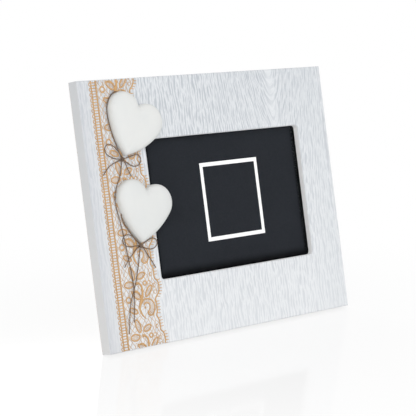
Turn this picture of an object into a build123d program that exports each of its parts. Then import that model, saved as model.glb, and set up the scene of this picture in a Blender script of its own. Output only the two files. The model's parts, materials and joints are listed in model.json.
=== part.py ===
# Landscape photo frame with two applied hearts, a lace band and twine bows, standing on an easel strut.
#
# Every piece is drawn as if the frame lay face up on a bench: X runs to the right and Y up the board, both
# from the lower left corner of its front face, and Z comes out of that face. At the end the whole frame is
# stood up, leaned back on its strut, and moved so that the origin is the bottom centre of its box.
import os
from math import atan, atan2, cos, degrees, hypot, radians, sin, sqrt, tan

from build123d import *

# Board with its picture window
BOARD_WIDTH = 225.0
BOARD_HEIGHT = 177.5
BOARD_THICKNESS = 9.5
WINDOW_WIDTH = 144.0
WINDOW_HEIGHT = 94.0
WINDOW_LEFT = 50.75
WINDOW_BOTTOM = 42.0
WINDOW_CORNER = 2.5
LIP_THICKNESS = 4.3
LIP_OVERLAP = 4.0
FRONT_BEVEL = 0.6
BACK_BEVEL = 0.8

# Picture package in the rebate
PACKAGE_PLAY = 0.3
GLASS_THICKNESS = 2.0
CARD_THICKNESS = 0.4
HOLE_PLAY = 0.05

# Lean and easel strut
LEAN = 10.6
STRUT_OPEN_ANGLE = 20.0
STRUT_THICKNESS = 2.5
STRUT_TOP_WIDTH = 40.0
STRUT_FOOT_WIDTH = 62.0
STRUT_CORNER = 4.0
HINGE_DROP = 14.0

# Strut hinge
LEAF_THICKNESS = 0.8
LEAF_LENGTH = 14.0
KNUCKLE_RADIUS = 1.8
PIN_RADIUS = 1.0
PIN_RUNNING_PLAY = 0.06
PIN_OVERHANG = 0.5
MIDDLE_KNUCKLE = 10.0
SIDE_KNUCKLE = 8.0
KNUCKLE_GAP = 0.3
LUG_LENGTH = 6.0
LUG_PLAY = 0.1
RIVET_RADIUS = 1.5
RIVET_HEAD_RADIUS = 2.8
RIVET_HEAD_HEIGHT = 0.9
RIVET_SPACING = 16.0
RIVET_EDGE = 5.0

# Turn buttons that hold the back panel
BUTTON_THICKNESS = 1.0
BUTTON_WIDTH = 9.0
BUTTON_REACH = 15.0
BUTTON_TAIL = 5.0
BUTTON_CROP = 2.5
BUTTON_GAP = 0.2
BUTTON_SETBACK = 6.0
BUTTON_SPACING = 52.0
SCREW_RADIUS = 1.4
SCREW_LENGTH = 6.0
SCREW_HEAD_RADIUS = 3.0
SCREW_HEAD_HEIGHT = 1.7
SCREW_SLOT_WIDTH = 0.8
SCREW_SLOT_DEPTH = 0.7

# Rivets, nails and screws: sides of their shanks and heads, and how far a head draws in for its height
FASTENER_SIDES = 8
HEAD_SLOPE = 0.7

# Sawtooth hanger on the top rail
HANGER_LENGTH = 46.0
HANGER_WIDTH = 9.0
HANGER_THICKNESS = 0.8
HANGER_STANDOFF = 1.2
HANGER_FOOT = 9.0
HANGER_RAMP = 2.0
HANGER_TEETH = 12
HANGER_TOOTH_DEPTH = 1.6
HANGER_BELOW_TOP = 16.0
NAIL_RADIUS = 0.8
NAIL_LENGTH = 6.0
NAIL_HEAD_RADIUS = 1.8
NAIL_HEAD_HEIGHT = 0.6

# Applied hearts: lobe and side radii, lobe centre, the tip and tilt of each heart, and how far below the
# board's top the upper tip lies
LOBE_RADIUS = 12.2
LOBE_OFFSET = 10.4
LOBE_HEIGHT = 28.5
SIDE_RADIUS = 55.0
NOTCH_RADIUS = 0.8
HEART_WALL = 0.8
CROWN_HEIGHT = 6.2
CROWN_INSET = 9.6
CROWN_STEPS = (0, 30, 60, 90)
HEARTS = {"upper_heart": ((30.5, 126.6), 26.6), "lower_heart": ((35.2, 68.6), 14.5)}
GROOVE_PLAY = 0.2
UPPER_TIP_BELOW_TOP = 50.9

# Lace band, glued down the left margin
LACE_THICKNESS = 0.4
LACE_REPEAT = 34.6
LACE_LEFT = 11.0
BRAID_WIDTH = 1.2
LADDER_WIDTH = 5.0
RUNGS_PER_REPEAT = 12
RUNG_WIDTH = 0.75
PICOTS_PER_REPEAT = 10
PICOT_LENGTH = 1.8
PICOT_BASE = 1.8
LEAF_BRAID = 1.0
LEAF_SHOULDER = 0.2
RING_SIDES = 6
BAR_WIDTH = 0.5
STEM_WIDTH = 1.5
EDGE_BRAID = 1.0

# Twine
CORD_DIAMETER = 0.8
CORD_SIDES = 4
CORD_GAP = 0.05
KNOT_WIDTH = 3.8
KNOT_HEIGHT = 2.4
KNOT_SIDES = 8
KNOT_SLOPE = 25.0
WAIST_SHARE = 0.4

# Levels behind the board's face, all negative because Z comes out of the front
board_back = -BOARD_THICKNESS
glass_front = -LIP_THICKNESS
card_front = glass_front - GLASS_THICKNESS
panel_front = card_front - CARD_THICKNESS
panel_thickness = panel_front - board_back
rebate_width = WINDOW_WIDTH + 2 * LIP_OVERLAP
rebate_height = WINDOW_HEIGHT + 2 * LIP_OVERLAP
window_centre = (WINDOW_LEFT + WINDOW_WIDTH / 2, WINDOW_BOTTOM + WINDOW_HEIGHT / 2)
panel_top = WINDOW_BOTTOM + WINDOW_HEIGHT + LIP_OVERLAP

# Heights of the cord's centre line on the lace and where it passes over another cord
cord_radius = CORD_DIAMETER / 2
LOW = LACE_THICKNESS + cord_radius + CORD_GAP
HIGH = LOW + CORD_DIAMETER + 2 * CORD_GAP

# The hearts and their twine are placed together, from the top of the board down
ornament_rise = BOARD_HEIGHT - UPPER_TIP_BELOW_TOP - HEARTS["upper_heart"][0][1]

# Hinge axis of the strut, on the panel's centre line
hinge_x = window_centre[0]
hinge_y = panel_top - HINGE_DROP
hinge_z = board_back - KNUCKLE_GAP - KNUCKLE_RADIUS
hinge_width = MIDDLE_KNUCKLE + 2 * SIDE_KNUCKLE + 2 * KNUCKLE_GAP

parts = {}


def slab(width, height, front, back, centre=(0, 0)):
    """Flat plate between two levels."""
    return extrude(Pos(centre[0], centre[1], back) * Rectangle(width, height), front - back)


def drum(radius, bottom, top, place):
    """Upright cylinder between two levels."""
    return extrude(Pos(place[0], place[1], bottom) * Circle(radius), top - bottom)


def peg(radius, bottom, top, place):
    """Upright many-sided shank between two levels, or the hole that takes it."""
    return extrude(Pos(place[0], place[1], bottom) * RegularPolygon(radius, FASTENER_SIDES), top - bottom)


# Board, picture package and back panel


def button_places():
    """Screw centres of the turn buttons, with the direction in which each points at rest."""
    places = {}
    for side, sign in (("left", -1), ("right", 1)):
        for level, step in (("lower", -1), ("upper", 1)):
            x = window_centre[0] + sign * (rebate_width / 2 + BUTTON_SETBACK)
            y = window_centre[1] + step * BUTTON_SPACING / 2
            places[f"{level}_{side}"] = ((x, y), 0 if sign < 0 else 180)
    return places


def nail_places():
    """Nail centres of the hanger."""
    half = (HANGER_LENGTH - HANGER_FOOT) / 2
    y = BOARD_HEIGHT - HANGER_BELOW_TOP
    return [(BOARD_WIDTH / 2 - half, y), (BOARD_WIDTH / 2 + half, y)]


def make_board():
    centre = (BOARD_WIDTH / 2, BOARD_HEIGHT / 2)
    board = slab(BOARD_WIDTH, BOARD_HEIGHT, 0, board_back, centre)
    window = RectangleRounded(WINDOW_WIDTH, WINDOW_HEIGHT, WINDOW_CORNER)
    board -= extrude(Pos(*window_centre, board_back) * window, BOARD_THICKNESS)
    board = chamfer(board.faces().sort_by(Axis.Z)[-1].edges(), FRONT_BEVEL)
    back_rim = board.faces().sort_by(Axis.Z)[0].outer_wire().edges()
    board = chamfer(back_rim, BACK_BEVEL)
    board -= slab(rebate_width, rebate_height, glass_front, board_back, window_centre)
    for place, _ in button_places().values():
        board -= peg(SCREW_RADIUS + HOLE_PLAY, board_back, board_back + SCREW_LENGTH + HOLE_PLAY, place)
    for place in nail_places():
        board -= peg(NAIL_RADIUS + HOLE_PLAY, board_back, board_back + NAIL_LENGTH + HOLE_PLAY, place)
    return board


def rivet_places(direction):
    """Rivet centres of one hinge leaf, above (1) or below (-1) the hinge axis."""
    y = hinge_y + direction * (LEAF_LENGTH - RIVET_EDGE)
    return [(hinge_x - RIVET_SPACING / 2, y), (hinge_x + RIVET_SPACING / 2, y)]


def package_plate(front, back):
    """Sheet that lies in the rebate with a little play all round."""
    width = rebate_width - 2 * PACKAGE_PLAY
    height = rebate_height - 2 * PACKAGE_PLAY
    return slab(width, height, front, back, window_centre)


def make_panel():
    panel = package_plate(panel_front, board_back)
    for place in rivet_places(1):
        panel -= peg(RIVET_RADIUS + HOLE_PLAY, board_back, panel_front, place)
    return panel


parts["front_frame"] = make_board()
parts["glass_pane"] = package_plate(glass_front, card_front)
parts["insert_card"] = package_plate(card_front, panel_front)
parts["back_panel"] = make_panel()


# Turn buttons, screws and hanger


def head(radius, height, place, level):
    """Low head with a sloping rim, below a level on the back of the frame."""
    crown = extrude(RegularPolygon(radius, FASTENER_SIDES), height, taper=degrees(atan(HEAD_SLOPE)))
    return Pos(place[0], place[1], level) * Rot(180, 0, 0) * crown


def make_button(place, turn):
    """Strip with cropped corners that turns on its screw."""
    length = BUTTON_REACH + BUTTON_TAIL
    blank = Pos((BUTTON_REACH - BUTTON_TAIL) / 2, 0) * Rectangle(length, BUTTON_WIDTH)
    blank = chamfer(blank.vertices(), BUTTON_CROP)
    hole = RegularPolygon(SCREW_RADIUS + PIN_RUNNING_PLAY, FASTENER_SIDES, major_radius=False)
    plate = extrude(blank - hole, BUTTON_THICKNESS)
    top = board_back - BUTTON_GAP
    return Pos(place[0], place[1], top - BUTTON_THICKNESS) * Rot(0, 0, turn) * plate


def make_screw(place):
    seat = board_back - 2 * BUTTON_GAP - BUTTON_THICKNESS
    screw = peg(SCREW_RADIUS, seat, board_back + SCREW_LENGTH, place)
    screw += head(SCREW_HEAD_RADIUS, SCREW_HEAD_HEIGHT, place, seat)
    slot_top = seat - SCREW_HEAD_HEIGHT + SCREW_SLOT_DEPTH
    screw -= slab(2 * SCREW_HEAD_RADIUS, SCREW_SLOT_WIDTH, slot_top, seat - SCREW_HEAD_HEIGHT, place)
    return screw


def make_hanger():
    """Pressed strip: two feet on the board, and a raised middle with teeth along its lower edge."""
    half = HANGER_LENGTH / 2
    ramp_start = half - HANGER_FOOT
    ramp_end = ramp_start - HANGER_RAMP
    low = HANGER_THICKNESS
    high = HANGER_STANDOFF + HANGER_THICKNESS
    profile = [(-half, 0), (-ramp_start, 0), (-ramp_end, HANGER_STANDOFF), (ramp_end, HANGER_STANDOFF)]
    profile += [(ramp_start, 0), (half, 0), (half, low), (ramp_start, low), (ramp_end, high)]
    profile += [(-ramp_end, high), (-ramp_start, low), (-half, low)]
    section = make_face(Polyline(*profile, close=True))
    strip = extrude(Plane.XZ * section, HANGER_WIDTH / 2, both=True)
    strip = Rot(180, 0, 0) * strip
    pitch = 2 * ramp_end / HANGER_TEETH
    edge = -HANGER_WIDTH / 2
    for tooth in range(HANGER_TEETH):
        x = -ramp_end + tooth * pitch
        notch = Polyline((x, edge), (x + pitch / 2, edge + HANGER_TOOTH_DEPTH), (x + pitch, edge), close=True)
        strip -= extrude(make_face(notch), -high - HANGER_STANDOFF)
    strip = Pos(BOARD_WIDTH / 2, BOARD_HEIGHT - HANGER_BELOW_TOP, board_back) * strip
    for place in nail_places():
        strip -= peg(NAIL_RADIUS + HOLE_PLAY, board_back - HANGER_THICKNESS, board_back, place)
    return strip


def make_nail(place):
    seat = board_back - HANGER_THICKNESS
    nail = peg(NAIL_RADIUS, seat, board_back + NAIL_LENGTH, place)
    return nail + head(NAIL_HEAD_RADIUS, NAIL_HEAD_HEIGHT, place, seat)


for name, (place, turn) in button_places().items():
    parts[f"turn_button_{name}"] = make_button(place, turn)
parts["turn_button_screws"] = Compound([make_screw(place) for place, _ in button_places().values()])
parts["sawtooth_hanger"] = make_hanger()
parts["hanger_nails"] = Compound([make_nail(place) for place in nail_places()])


# Easel strut and its hinge, drawn folded against the back and then swung open about the hinge axis


def knuckle(length, centre, bore):
    """Tube along the hinge axis."""
    tube = Circle(KNUCKLE_RADIUS) - Circle(bore)
    return Pos(centre, hinge_y, hinge_z) * Rot(0, 90, 0) * extrude(tube, length / 2, both=True)


def make_panel_leaf():
    """Upper leaf: lies on the panel, with a knuckle at each side and a gap for the strut's knuckle."""
    clear = KNUCKLE_RADIUS + KNUCKLE_GAP
    plate_back = board_back - LEAF_THICKNESS
    centre = (hinge_x, hinge_y + LEAF_LENGTH / 2)
    leaf = slab(hinge_width, LEAF_LENGTH, board_back, plate_back, centre)
    opening = MIDDLE_KNUCKLE + 2 * KNUCKLE_GAP
    leaf -= slab(opening, 2 * clear, board_back, plate_back, (hinge_x, hinge_y))
    side_centre = (MIDDLE_KNUCKLE + SIDE_KNUCKLE) / 2 + KNUCKLE_GAP
    for sign in (-1, 1):
        leaf += knuckle(SIDE_KNUCKLE, hinge_x + sign * side_centre, PIN_RADIUS + HOLE_PLAY / 2)
    for place in rivet_places(1):
        leaf -= peg(RIVET_RADIUS + HOLE_PLAY, plate_back, board_back, place)
    return leaf


strut_back = hinge_z - KNUCKLE_RADIUS + LEAF_THICKNESS
strut_front = strut_back + STRUT_THICKNESS
strut_top = hinge_y - KNUCKLE_RADIUS - 2 * KNUCKLE_GAP
swing = Pos(0, hinge_y, hinge_z) * Rot(STRUT_OPEN_ANGLE, 0, 0) * Pos(0, -hinge_y, -hinge_z)


def make_strut():
    """Tapered leg, longer than needed: the floor trims its foot once the frame stands."""
    foot = -STRUT_THICKNESS
    half_top = STRUT_TOP_WIDTH / 2
    half_foot = STRUT_FOOT_WIDTH / 2
    corners = [(-half_top, strut_top), (half_top, strut_top), (half_foot, foot), (-half_foot, foot)]
    outline = fillet(make_face(Polyline(*corners, close=True)).vertices().group_by(Axis.Y)[-1], STRUT_CORNER)
    leg = extrude(Pos(hinge_x, 0, strut_back) * outline, STRUT_THICKNESS)
    for place in rivet_places(-1):
        leg -= peg(RIVET_RADIUS + HOLE_PLAY, strut_back, strut_front, place)
    return leg


def make_strut_leaf():
    """Lower leaf: lies on the back of the strut, with the middle knuckle and the lug that stops the swing."""
    plate_top = strut_back
    centre = (hinge_x, (strut_top + hinge_y - LEAF_LENGTH) / 2)
    height = strut_top - hinge_y + LEAF_LENGTH
    leaf = slab(hinge_width, height, plate_top, plate_top - LEAF_THICKNESS, centre)
    tongue_height = hinge_y - centre[1]
    tongue_centre = (hinge_x, hinge_y - tongue_height / 2)
    leaf += slab(MIDDLE_KNUCKLE, tongue_height, plate_top, plate_top - LEAF_THICKNESS, tongue_centre)
    leaf += knuckle(MIDDLE_KNUCKLE, hinge_x, PIN_RADIUS + PIN_RUNNING_PLAY)
    for place in rivet_places(-1):
        leaf -= peg(RIVET_RADIUS + HOLE_PLAY, plate_top - LEAF_THICKNESS, plate_top, place)
    lug_front = board_back - LEAF_THICKNESS - LUG_PLAY
    lug_centre = (hinge_x, hinge_y + LUG_LENGTH / 2)
    lug = slab(MIDDLE_KNUCKLE, LUG_LENGTH, lug_front, lug_front - LEAF_THICKNESS, lug_centre)
    bore = drum(PIN_RADIUS + PIN_RUNNING_PLAY, -MIDDLE_KNUCKLE, MIDDLE_KNUCKLE, (0, 0))
    lug -= Pos(hinge_x, hinge_y, hinge_z) * Rot(0, 90, 0) * bore
    return swing * leaf + lug


def make_rivet(place, front, back):
    """Rivet flush at the front, with a low head on the leaf."""
    return peg(RIVET_RADIUS, back, front, place) + head(RIVET_HEAD_RADIUS, RIVET_HEAD_HEIGHT, place, back)


def make_pin():
    length = hinge_width / 2 + PIN_OVERHANG
    pin = extrude(Circle(PIN_RADIUS), length, both=True)
    return Pos(hinge_x, hinge_y, hinge_z) * Rot(0, 90, 0) * pin


panel_leaf_back = board_back - LEAF_THICKNESS
panel_rivets = [make_rivet(place, panel_front, panel_leaf_back) for place in rivet_places(1)]
strut_leaf_back = strut_back - LEAF_THICKNESS
strut_rivets = [make_rivet(place, strut_front, strut_leaf_back) for place in rivet_places(-1)]
parts["hinge_panel_leaf"] = make_panel_leaf()
parts["hinge_pin"] = make_pin()
parts["hinge_panel_rivets"] = Compound(panel_rivets)
parts["easel_strut"] = swing * make_strut()
parts["hinge_strut_leaf"] = make_strut_leaf()
parts["hinge_strut_rivets"] = swing * Compound(strut_rivets)


# Applied hearts


def on_circle(centre, radius, angle):
    return (centre[0] + radius * cos(angle), centre[1] + radius * sin(angle))


def heart_outline(inset, level):
    """Heart with its tip at the origin, drawn in by an even distance: two sides, two lobes and the notch.

    The side arcs touch the lobes and meet at the tip, and the notch arc touches both lobes, so drawing the
    outline in only changes the five radii."""
    reach = hypot(LOBE_OFFSET, LOBE_HEIGHT)
    along = (SIDE_RADIUS**2 - (SIDE_RADIUS - LOBE_RADIUS) ** 2 + reach**2) / (2 * reach)
    across = sqrt(SIDE_RADIUS**2 - along**2)
    side_x = (LOBE_OFFSET * along - LOBE_HEIGHT * across) / reach
    side_y = (LOBE_HEIGHT * along + LOBE_OFFSET * across) / reach
    lobe = (LOBE_OFFSET, LOBE_HEIGHT)
    notch_y = LOBE_HEIGHT + sqrt((LOBE_RADIUS + NOTCH_RADIUS) ** 2 - LOBE_OFFSET**2)
    side_radius = SIDE_RADIUS - inset
    lobe_radius = LOBE_RADIUS - inset
    tip = (0, side_y - sqrt(side_radius**2 - side_x**2))
    shoulder_angle = atan2(LOBE_HEIGHT - side_y, LOBE_OFFSET - side_x)
    notch_angle = atan2(notch_y - LOBE_HEIGHT, -LOBE_OFFSET)
    tip_angle = atan2(tip[1] - side_y, -side_x)
    shoulder = on_circle(lobe, lobe_radius, shoulder_angle)
    notch = on_circle(lobe, lobe_radius, notch_angle)
    side_mid = on_circle((side_x, side_y), side_radius, (tip_angle + shoulder_angle) / 2)
    lobe_mid = on_circle(lobe, lobe_radius, (shoulder_angle + notch_angle) / 2)
    notch_mid = (0, notch_y - NOTCH_RADIUS - inset)
    edges = [
        ThreePointArc(tip, side_mid, shoulder),
        ThreePointArc(shoulder, lobe_mid, notch),
        ThreePointArc(notch, notch_mid, (-notch[0], notch[1])),
        ThreePointArc((-notch[0], notch[1]), (-lobe_mid[0], lobe_mid[1]), (-shoulder[0], shoulder[1])),
        ThreePointArc((-shoulder[0], shoulder[1]), (-side_mid[0], side_mid[1]), tip),
    ]
    return Pos(0, 0, level) * make_face(edges)


def make_heart(tip, tilt):
    """Low wall with a crown that rounds in, step by step, to a small flat top."""
    heart = extrude(heart_outline(0, 0), HEART_WALL)
    rings = []
    for step in CROWN_STEPS:
        inset = CROWN_INSET * (1 - cos(radians(step)))
        rings.append((inset, HEART_WALL + CROWN_HEIGHT * sin(radians(step))))
    for (inset, level), (next_inset, next_level) in zip(rings, rings[1:]):
        rise = next_level - level
        slope = degrees(atan2(next_inset - inset, rise))
        heart += extrude(heart_outline(inset, level), rise, taper=slope)
    return Pos(tip[0], tip[1], LACE_THICKNESS) * Rot(0, 0, -tilt) * heart


# Twine: routes are points on the face, from the knot or the heart outwards, with the height of the cord

UPPER_KNOT = (28.6, 124.5)
LOWER_KNOT = (34.9, 66.7)
CORDS = {
    "upper_rim_cord": [
        (35.2, 164.6, LOW), (31.5, 170.1, LOW), (26.2, 167.6, LOW), (21.9, 162.2, LOW), (20.7, 155.4, LOW),
        (21.6, 147.8, LOW), (23.4, 139.8, LOW), (25.9, 132.4, LOW), (28.1, 125.7, LOW),
    ],
    "upper_bow_left": [
        (28.2, 125.9, HIGH), (25.6, 130.2, HIGH), (22.4, 134.2, LOW), (18.4, 135.6, LOW), (15.2, 133.2, LOW),
        (15.6, 129.2, LOW), (19.8, 126.4, LOW), (24.9, 124.9, LOW), (28.4, 124.8, HIGH), (30.4, 121.6, HIGH),
        (32.4, 117.2, LOW), (34.7, 112.9, LOW),
    ],
    "upper_bow_right": [
        (29.8, 124.9, LOW), (34.0, 125.2, LOW), (38.8, 126.6, LOW), (42.8, 126.8, LOW), (44.8, 123.6, LOW),
        (42.9, 119.8, LOW), (38.6, 118.7, LOW), (34.2, 120.6, LOW), (31.3, 122.8, LOW), (28.5, 124.0, LOW),
        (24.4, 123.4, LOW), (19.0, 121.7, LOW), (14.6, 118.7, LOW), (11.6, 115.3, LOW),
    ],
    "link_cord": [
        (28.1, 123.0, LOW), (26.9, 118.4, LOW), (25.1, 113.2, LOW), (21.6, 107.9, LOW), (18.9, 102.0, LOW),
        (18.4, 95.4, LOW), (19.6, 89.0, LOW), (21.2, 81.0, LOW), (22.3, 72.0, LOW), (23.4, 61.5, LOW),
        (24.7, 50.5, LOW), (25.1, 40.5, LOW), (24.0, 28.6, LOW), (21.7, 17.8, LOW),
    ],
    "lower_rim_cord": [
        (30.4, 92.4, LOW), (26.2, 90.5, LOW), (21.6, 88.4, LOW), (22.9, 84.0, LOW), (24.9, 80.2, LOW),
        (27.6, 76.4, LOW), (30.7, 72.2, LOW), (33.9, 68.1, LOW),
    ],
    "lower_bow_left": [
        (33.9, 68.4, HIGH), (30.6, 71.8, HIGH), (26.8, 75.0, HIGH), (22.4, 75.3, HIGH), (19.6, 72.4, HIGH),
        (20.6, 68.8, HIGH), (24.2, 67.2, HIGH), (28.0, 66.9, LOW), (31.2, 67.1, LOW), (34.7, 67.3, HIGH),
        (36.9, 64.8, HIGH), (39.6, 60.8, LOW), (43.0, 56.0, LOW), (45.6, 51.0, LOW),
    ],
    "lower_bow_right": [
        (36.2, 67.2, LOW), (40.6, 69.2, LOW), (45.4, 71.0, LOW), (49.0, 69.8, LOW), (49.6, 66.2, LOW),
        (46.6, 63.8, LOW), (42.4, 63.5, LOW), (39.2, 64.7, LOW), (36.6, 65.9, LOW), (33.7, 66.5, LOW),
        (29.6, 63.9, LOW), (25.4, 60.9, HIGH), (21.8, 58.0, HIGH), (19.6, 54.2, LOW),
    ],
    "tail_cord": [
        (34.4, 65.2, LOW), (33.0, 60.4, LOW), (31.2, 54.2, LOW), (28.6, 47.2, LOW), (26.0, 42.0, HIGH),
        (23.2, 37.0, HIGH), (20.6, 30.0, LOW), (18.4, 20.4, LOW), (16.6, 10.8, LOW),
    ],
}
# Cord under each heart, and how many of its first runs lie there
GROOVED = {"upper_heart": ("upper_rim_cord", 1), "lower_heart": ("lower_rim_cord", 2)}
ARC_SHARE = 0.45


def cord_path(route):
    """Straight runs joined by tangent arcs, each arc as large as its shorter run allows."""
    points = [Vector(*point) for point in route]
    radii = []
    for before, corner, after in zip(points, points[1:], points[2:]):
        run_in = corner - before
        run_out = after - corner
        turn = radians(run_in.get_angle(run_out))
        radii.append(ARC_SHARE * min(run_in.length, run_out.length) / tan(turn / 2))
    return FilletPolyline(*points, radius=radii), radii


def make_cord(name, route, diameter):
    path, radii = cord_path(route)
    section = Plane(origin=path @ 0, z_dir=path % 0) * RegularPolygon(diameter / 2, CORD_SIDES)
    cord = sweep(section, path=path)
    expected = section.area * path.length
    ratio = cord.volume / expected
    print(f"{name}: length {path.length:.1f} mm, tightest arc {min(radii):.1f} mm, volume ratio {ratio:.3f}")
    return cord


def make_knot(place):
    """Tied lump, wide at the waist, that the cords run into."""
    waist = RegularPolygon(KNOT_WIDTH / 2, KNOT_SIDES)
    above = extrude(waist, KNOT_HEIGHT * (1 - WAIST_SHARE), taper=KNOT_SLOPE)
    below = extrude(waist, KNOT_HEIGHT * WAIST_SHARE, taper=KNOT_SLOPE)
    level = LACE_THICKNESS + CORD_GAP + KNOT_HEIGHT * WAIST_SHARE
    return Pos(place[0], place[1], level) * (above + Rot(180, 0, 0) * below)


def cord_groove(route, runs):
    """Channel in the back of a heart for the first runs of the cord that is glued under it."""
    width = CORD_DIAMETER + 2 * GROOVE_PLAY
    depth = LOW + cord_radius + GROOVE_PLAY
    channel = Part()
    for index, (start, end) in enumerate(zip(route, route[1:])):
        if index >= runs:
            break
        length = hypot(end[0] - start[0], end[1] - start[1]) + width
        angle = degrees(atan2(end[1] - start[1], end[0] - start[0]))
        middle = Pos((start[0] + end[0]) / 2, (start[1] + end[1]) / 2, 0)
        channel += middle * Rot(0, 0, angle) * Box(length, width, 2 * depth)
    return channel


ornaments = {}
for name, (tip, tilt) in HEARTS.items():
    cord, runs = GROOVED[name]
    ornaments[name] = make_heart(tip, tilt) - cord_groove(CORDS[cord], runs)
for name, route in CORDS.items():
    ornaments[name] = make_cord(name, route, CORD_DIAMETER)
ornaments["upper_knot"] = make_knot(UPPER_KNOT)
ornaments["lower_knot"] = make_knot(LOWER_KNOT)
for name, shape in ornaments.items():
    parts[name] = Pos(0, ornament_rise, 0) * shape


# Lace band: one repeat of braided leaves, rings and stems on a ground of fine bars, between a ladder braid
# on the left and a scalloped braid on the right, all measured from the right side of the ladder

# Leaves as centre, length, width and direction in degrees
LEAVES = [
    (5.8, 7.8, 8.8, 5.0, 0),
    (9.4, 14.7, 9.8, 4.8, 100),
    (16.9, 12.6, 8.0, 4.8, 28),
    (21.7, 36.8, 9.6, 4.8, 48),
    (11.3, 35.0, 10.0, 5.0, -34),
    (7.2, 25.2, 8.0, 4.4, -18),
]
# Rings as centre and outer radius
RINGS = [(3.8, 32.6, 2.4), (19.2, 7.2, 2.1), (17.6, 26.0, 3.5)]
PETAL = [
    (14.2, 29.0), (17.4, 31.6), (21.8, 31.4), (24.9, 28.6), (25.2, 24.0), (22.8, 20.8), (18.4, 20.9),
]
STEM = [
    (12.6, 43.2), (15.6, 41.4), (16.4, 37.6), (15.6, 33.0), (13.6, 28.6), (13.4, 24.6), (15.2, 20.4),
]
# Right edge from valley to valley, over one repeat
EDGE = [
    (26.5, 9.5), (28.6, 12.6), (28.6, 17.0), (26.0, 20.2), (27.6, 23.6), (27.8, 28.0),
    (26.5, 31.2), (30.0, 33.8), (31.2, 37.6), (30.0, 41.6), (26.5, 44.1),
]
# Ground bars between the braids
BARS = [
    ((-0.4, 7.8), (2.0, 7.8)), ((-0.4, 14.4), (7.6, 14.4)), ((-0.4, 22.2), (8.8, 19.0)),
    ((-0.4, 32.6), (2.0, 32.6)), ((5.6, 33.6), (9.2, 35.4)), ((4.0, 34.6), (4.8, 40.4)),
    ((10.4, 24.2), (13.6, 25.4)), ((11.2, 13.6), (14.0, 11.2)), ((17.4, 14.8), (19.2, 20.8)),
    ((20.2, 14.9), (28.6, 15.0)), ((20.8, 7.4), (26.6, 9.4)), ((24.4, 40.0), (30.2, 40.8)),
    ((25.0, 26.0), (27.6, 25.8)),
]


def leaf_outline(place, length, width, direction):
    """Pointed oval with two shoulders on each side."""
    shoulder = length * LEAF_SHOULDER
    right = [(length / 2, 0), (shoulder, width / 2), (-shoulder, width / 2)]
    left = [(-length / 2, 0), (-shoulder, -width / 2), (shoulder, -width / 2)]
    oval = make_face(Polyline(*right, *left, close=True))
    return Pos(place[0], place[1]) * Rot(0, 0, direction) * oval


def strip(start, end, width):
    """Straight bar between two points."""
    length = hypot(end[0] - start[0], end[1] - start[1])
    direction = degrees(atan2(end[1] - start[1], end[0] - start[0]))
    middle = ((start[0] + end[0]) / 2, (start[1] + end[1]) / 2)
    return Pos(*middle) * Rot(0, 0, direction) * Rectangle(length, width)


def ladder():
    """Two braids joined by rungs, with picots on the outside, over one repeat."""
    outer = -BRAID_WIDTH / 2
    inner = outer - LADDER_WIDTH + BRAID_WIDTH
    pieces = [Pos(x, LACE_REPEAT / 2) * Rectangle(BRAID_WIDTH, LACE_REPEAT) for x in (inner, outer)]
    rung_pitch = LACE_REPEAT / RUNGS_PER_REPEAT
    for rung in range(RUNGS_PER_REPEAT):
        y = (rung + 0.5) * rung_pitch
        pieces.append(strip((inner, y), (outer, y), RUNG_WIDTH))
    picot_pitch = LACE_REPEAT / PICOTS_PER_REPEAT
    for picot in range(PICOTS_PER_REPEAT):
        y = (picot + 0.5) * picot_pitch
        base = [(inner, y - PICOT_BASE / 2), (inner, y + PICOT_BASE / 2)]
        pieces.append(make_face(Polyline(*base, (-LADDER_WIDTH - PICOT_LENGTH, y), close=True)))
    return pieces


def lace_repeat():
    """Braids of one repeat, with the eyes of its leaves and rings left open."""
    braids = ladder()
    braids.append(trace(Polyline(*EDGE), EDGE_BRAID))
    eyes = []
    for x, y, length, width, direction in LEAVES:
        braids.append(leaf_outline((x, y), length, width, direction))
        share = (width - 2 * LEAF_BRAID) / width
        eyes.append(leaf_outline((x, y), length * share, width * share, direction))
    for x, y, radius in RINGS:
        braids.append(Pos(x, y) * RegularPolygon(radius, RING_SIDES))
        eyes.append(Pos(x, y) * RegularPolygon(radius - LEAF_BRAID, RING_SIDES))
    braids.append(trace(Polyline(*PETAL), LEAF_BRAID))
    braids.append(trace(Polyline(*STEM), STEM_WIDTH))
    for start, end in BARS:
        braids.append(strip(start, end, BAR_WIDTH))
    return (Sketch() + braids) - eyes


def make_lace():
    repeat = lace_repeat()
    count = int(BOARD_HEIGHT // LACE_REPEAT) + 3
    left = LACE_LEFT + LADDER_WIDTH
    band = Sketch() + [Pos(left, (index - 1) * LACE_REPEAT) * repeat for index in range(count)]
    trim = Pos(BOARD_WIDTH / 2, BOARD_HEIGHT / 2) * Rectangle(BOARD_WIDTH, BOARD_HEIGHT)
    band = band & trim
    face = max(band.faces(), key=lambda item: item.area)
    print(f"lace: {len(face.inner_wires())} gaps, cover {face.area:.0f} of {band.area:.0f} square mm")
    return extrude(face, LACE_THICKNESS)


parts["lace_band"] = make_lace()


# Standing up: lean the frame back, set its rear bottom edge on the floor and trim the strut's foot

lift = (BOARD_THICKNESS - BACK_BEVEL) * sin(radians(LEAN))
stand = Pos(0, 0, lift) * Rot(90 - LEAN, 0, 0) * Pos(-BOARD_WIDTH / 2, 0, 0)
standing = {name: stand * shape for name, shape in parts.items()}
standing["easel_strut"] = split(standing["easel_strut"], bisect_by=Plane.XY, keep=Keep.TOP)

lows = [shape.bounding_box().min.Y for shape in standing.values()]
highs = [shape.bounding_box().max.Y for shape in standing.values()]
depth_centre = (min(lows) + max(highs)) / 2
print(f"depth {max(highs) - min(lows):.2f} mm, moved back by {-depth_centre:.3f} mm, lift {lift:.4f} mm")

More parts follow.
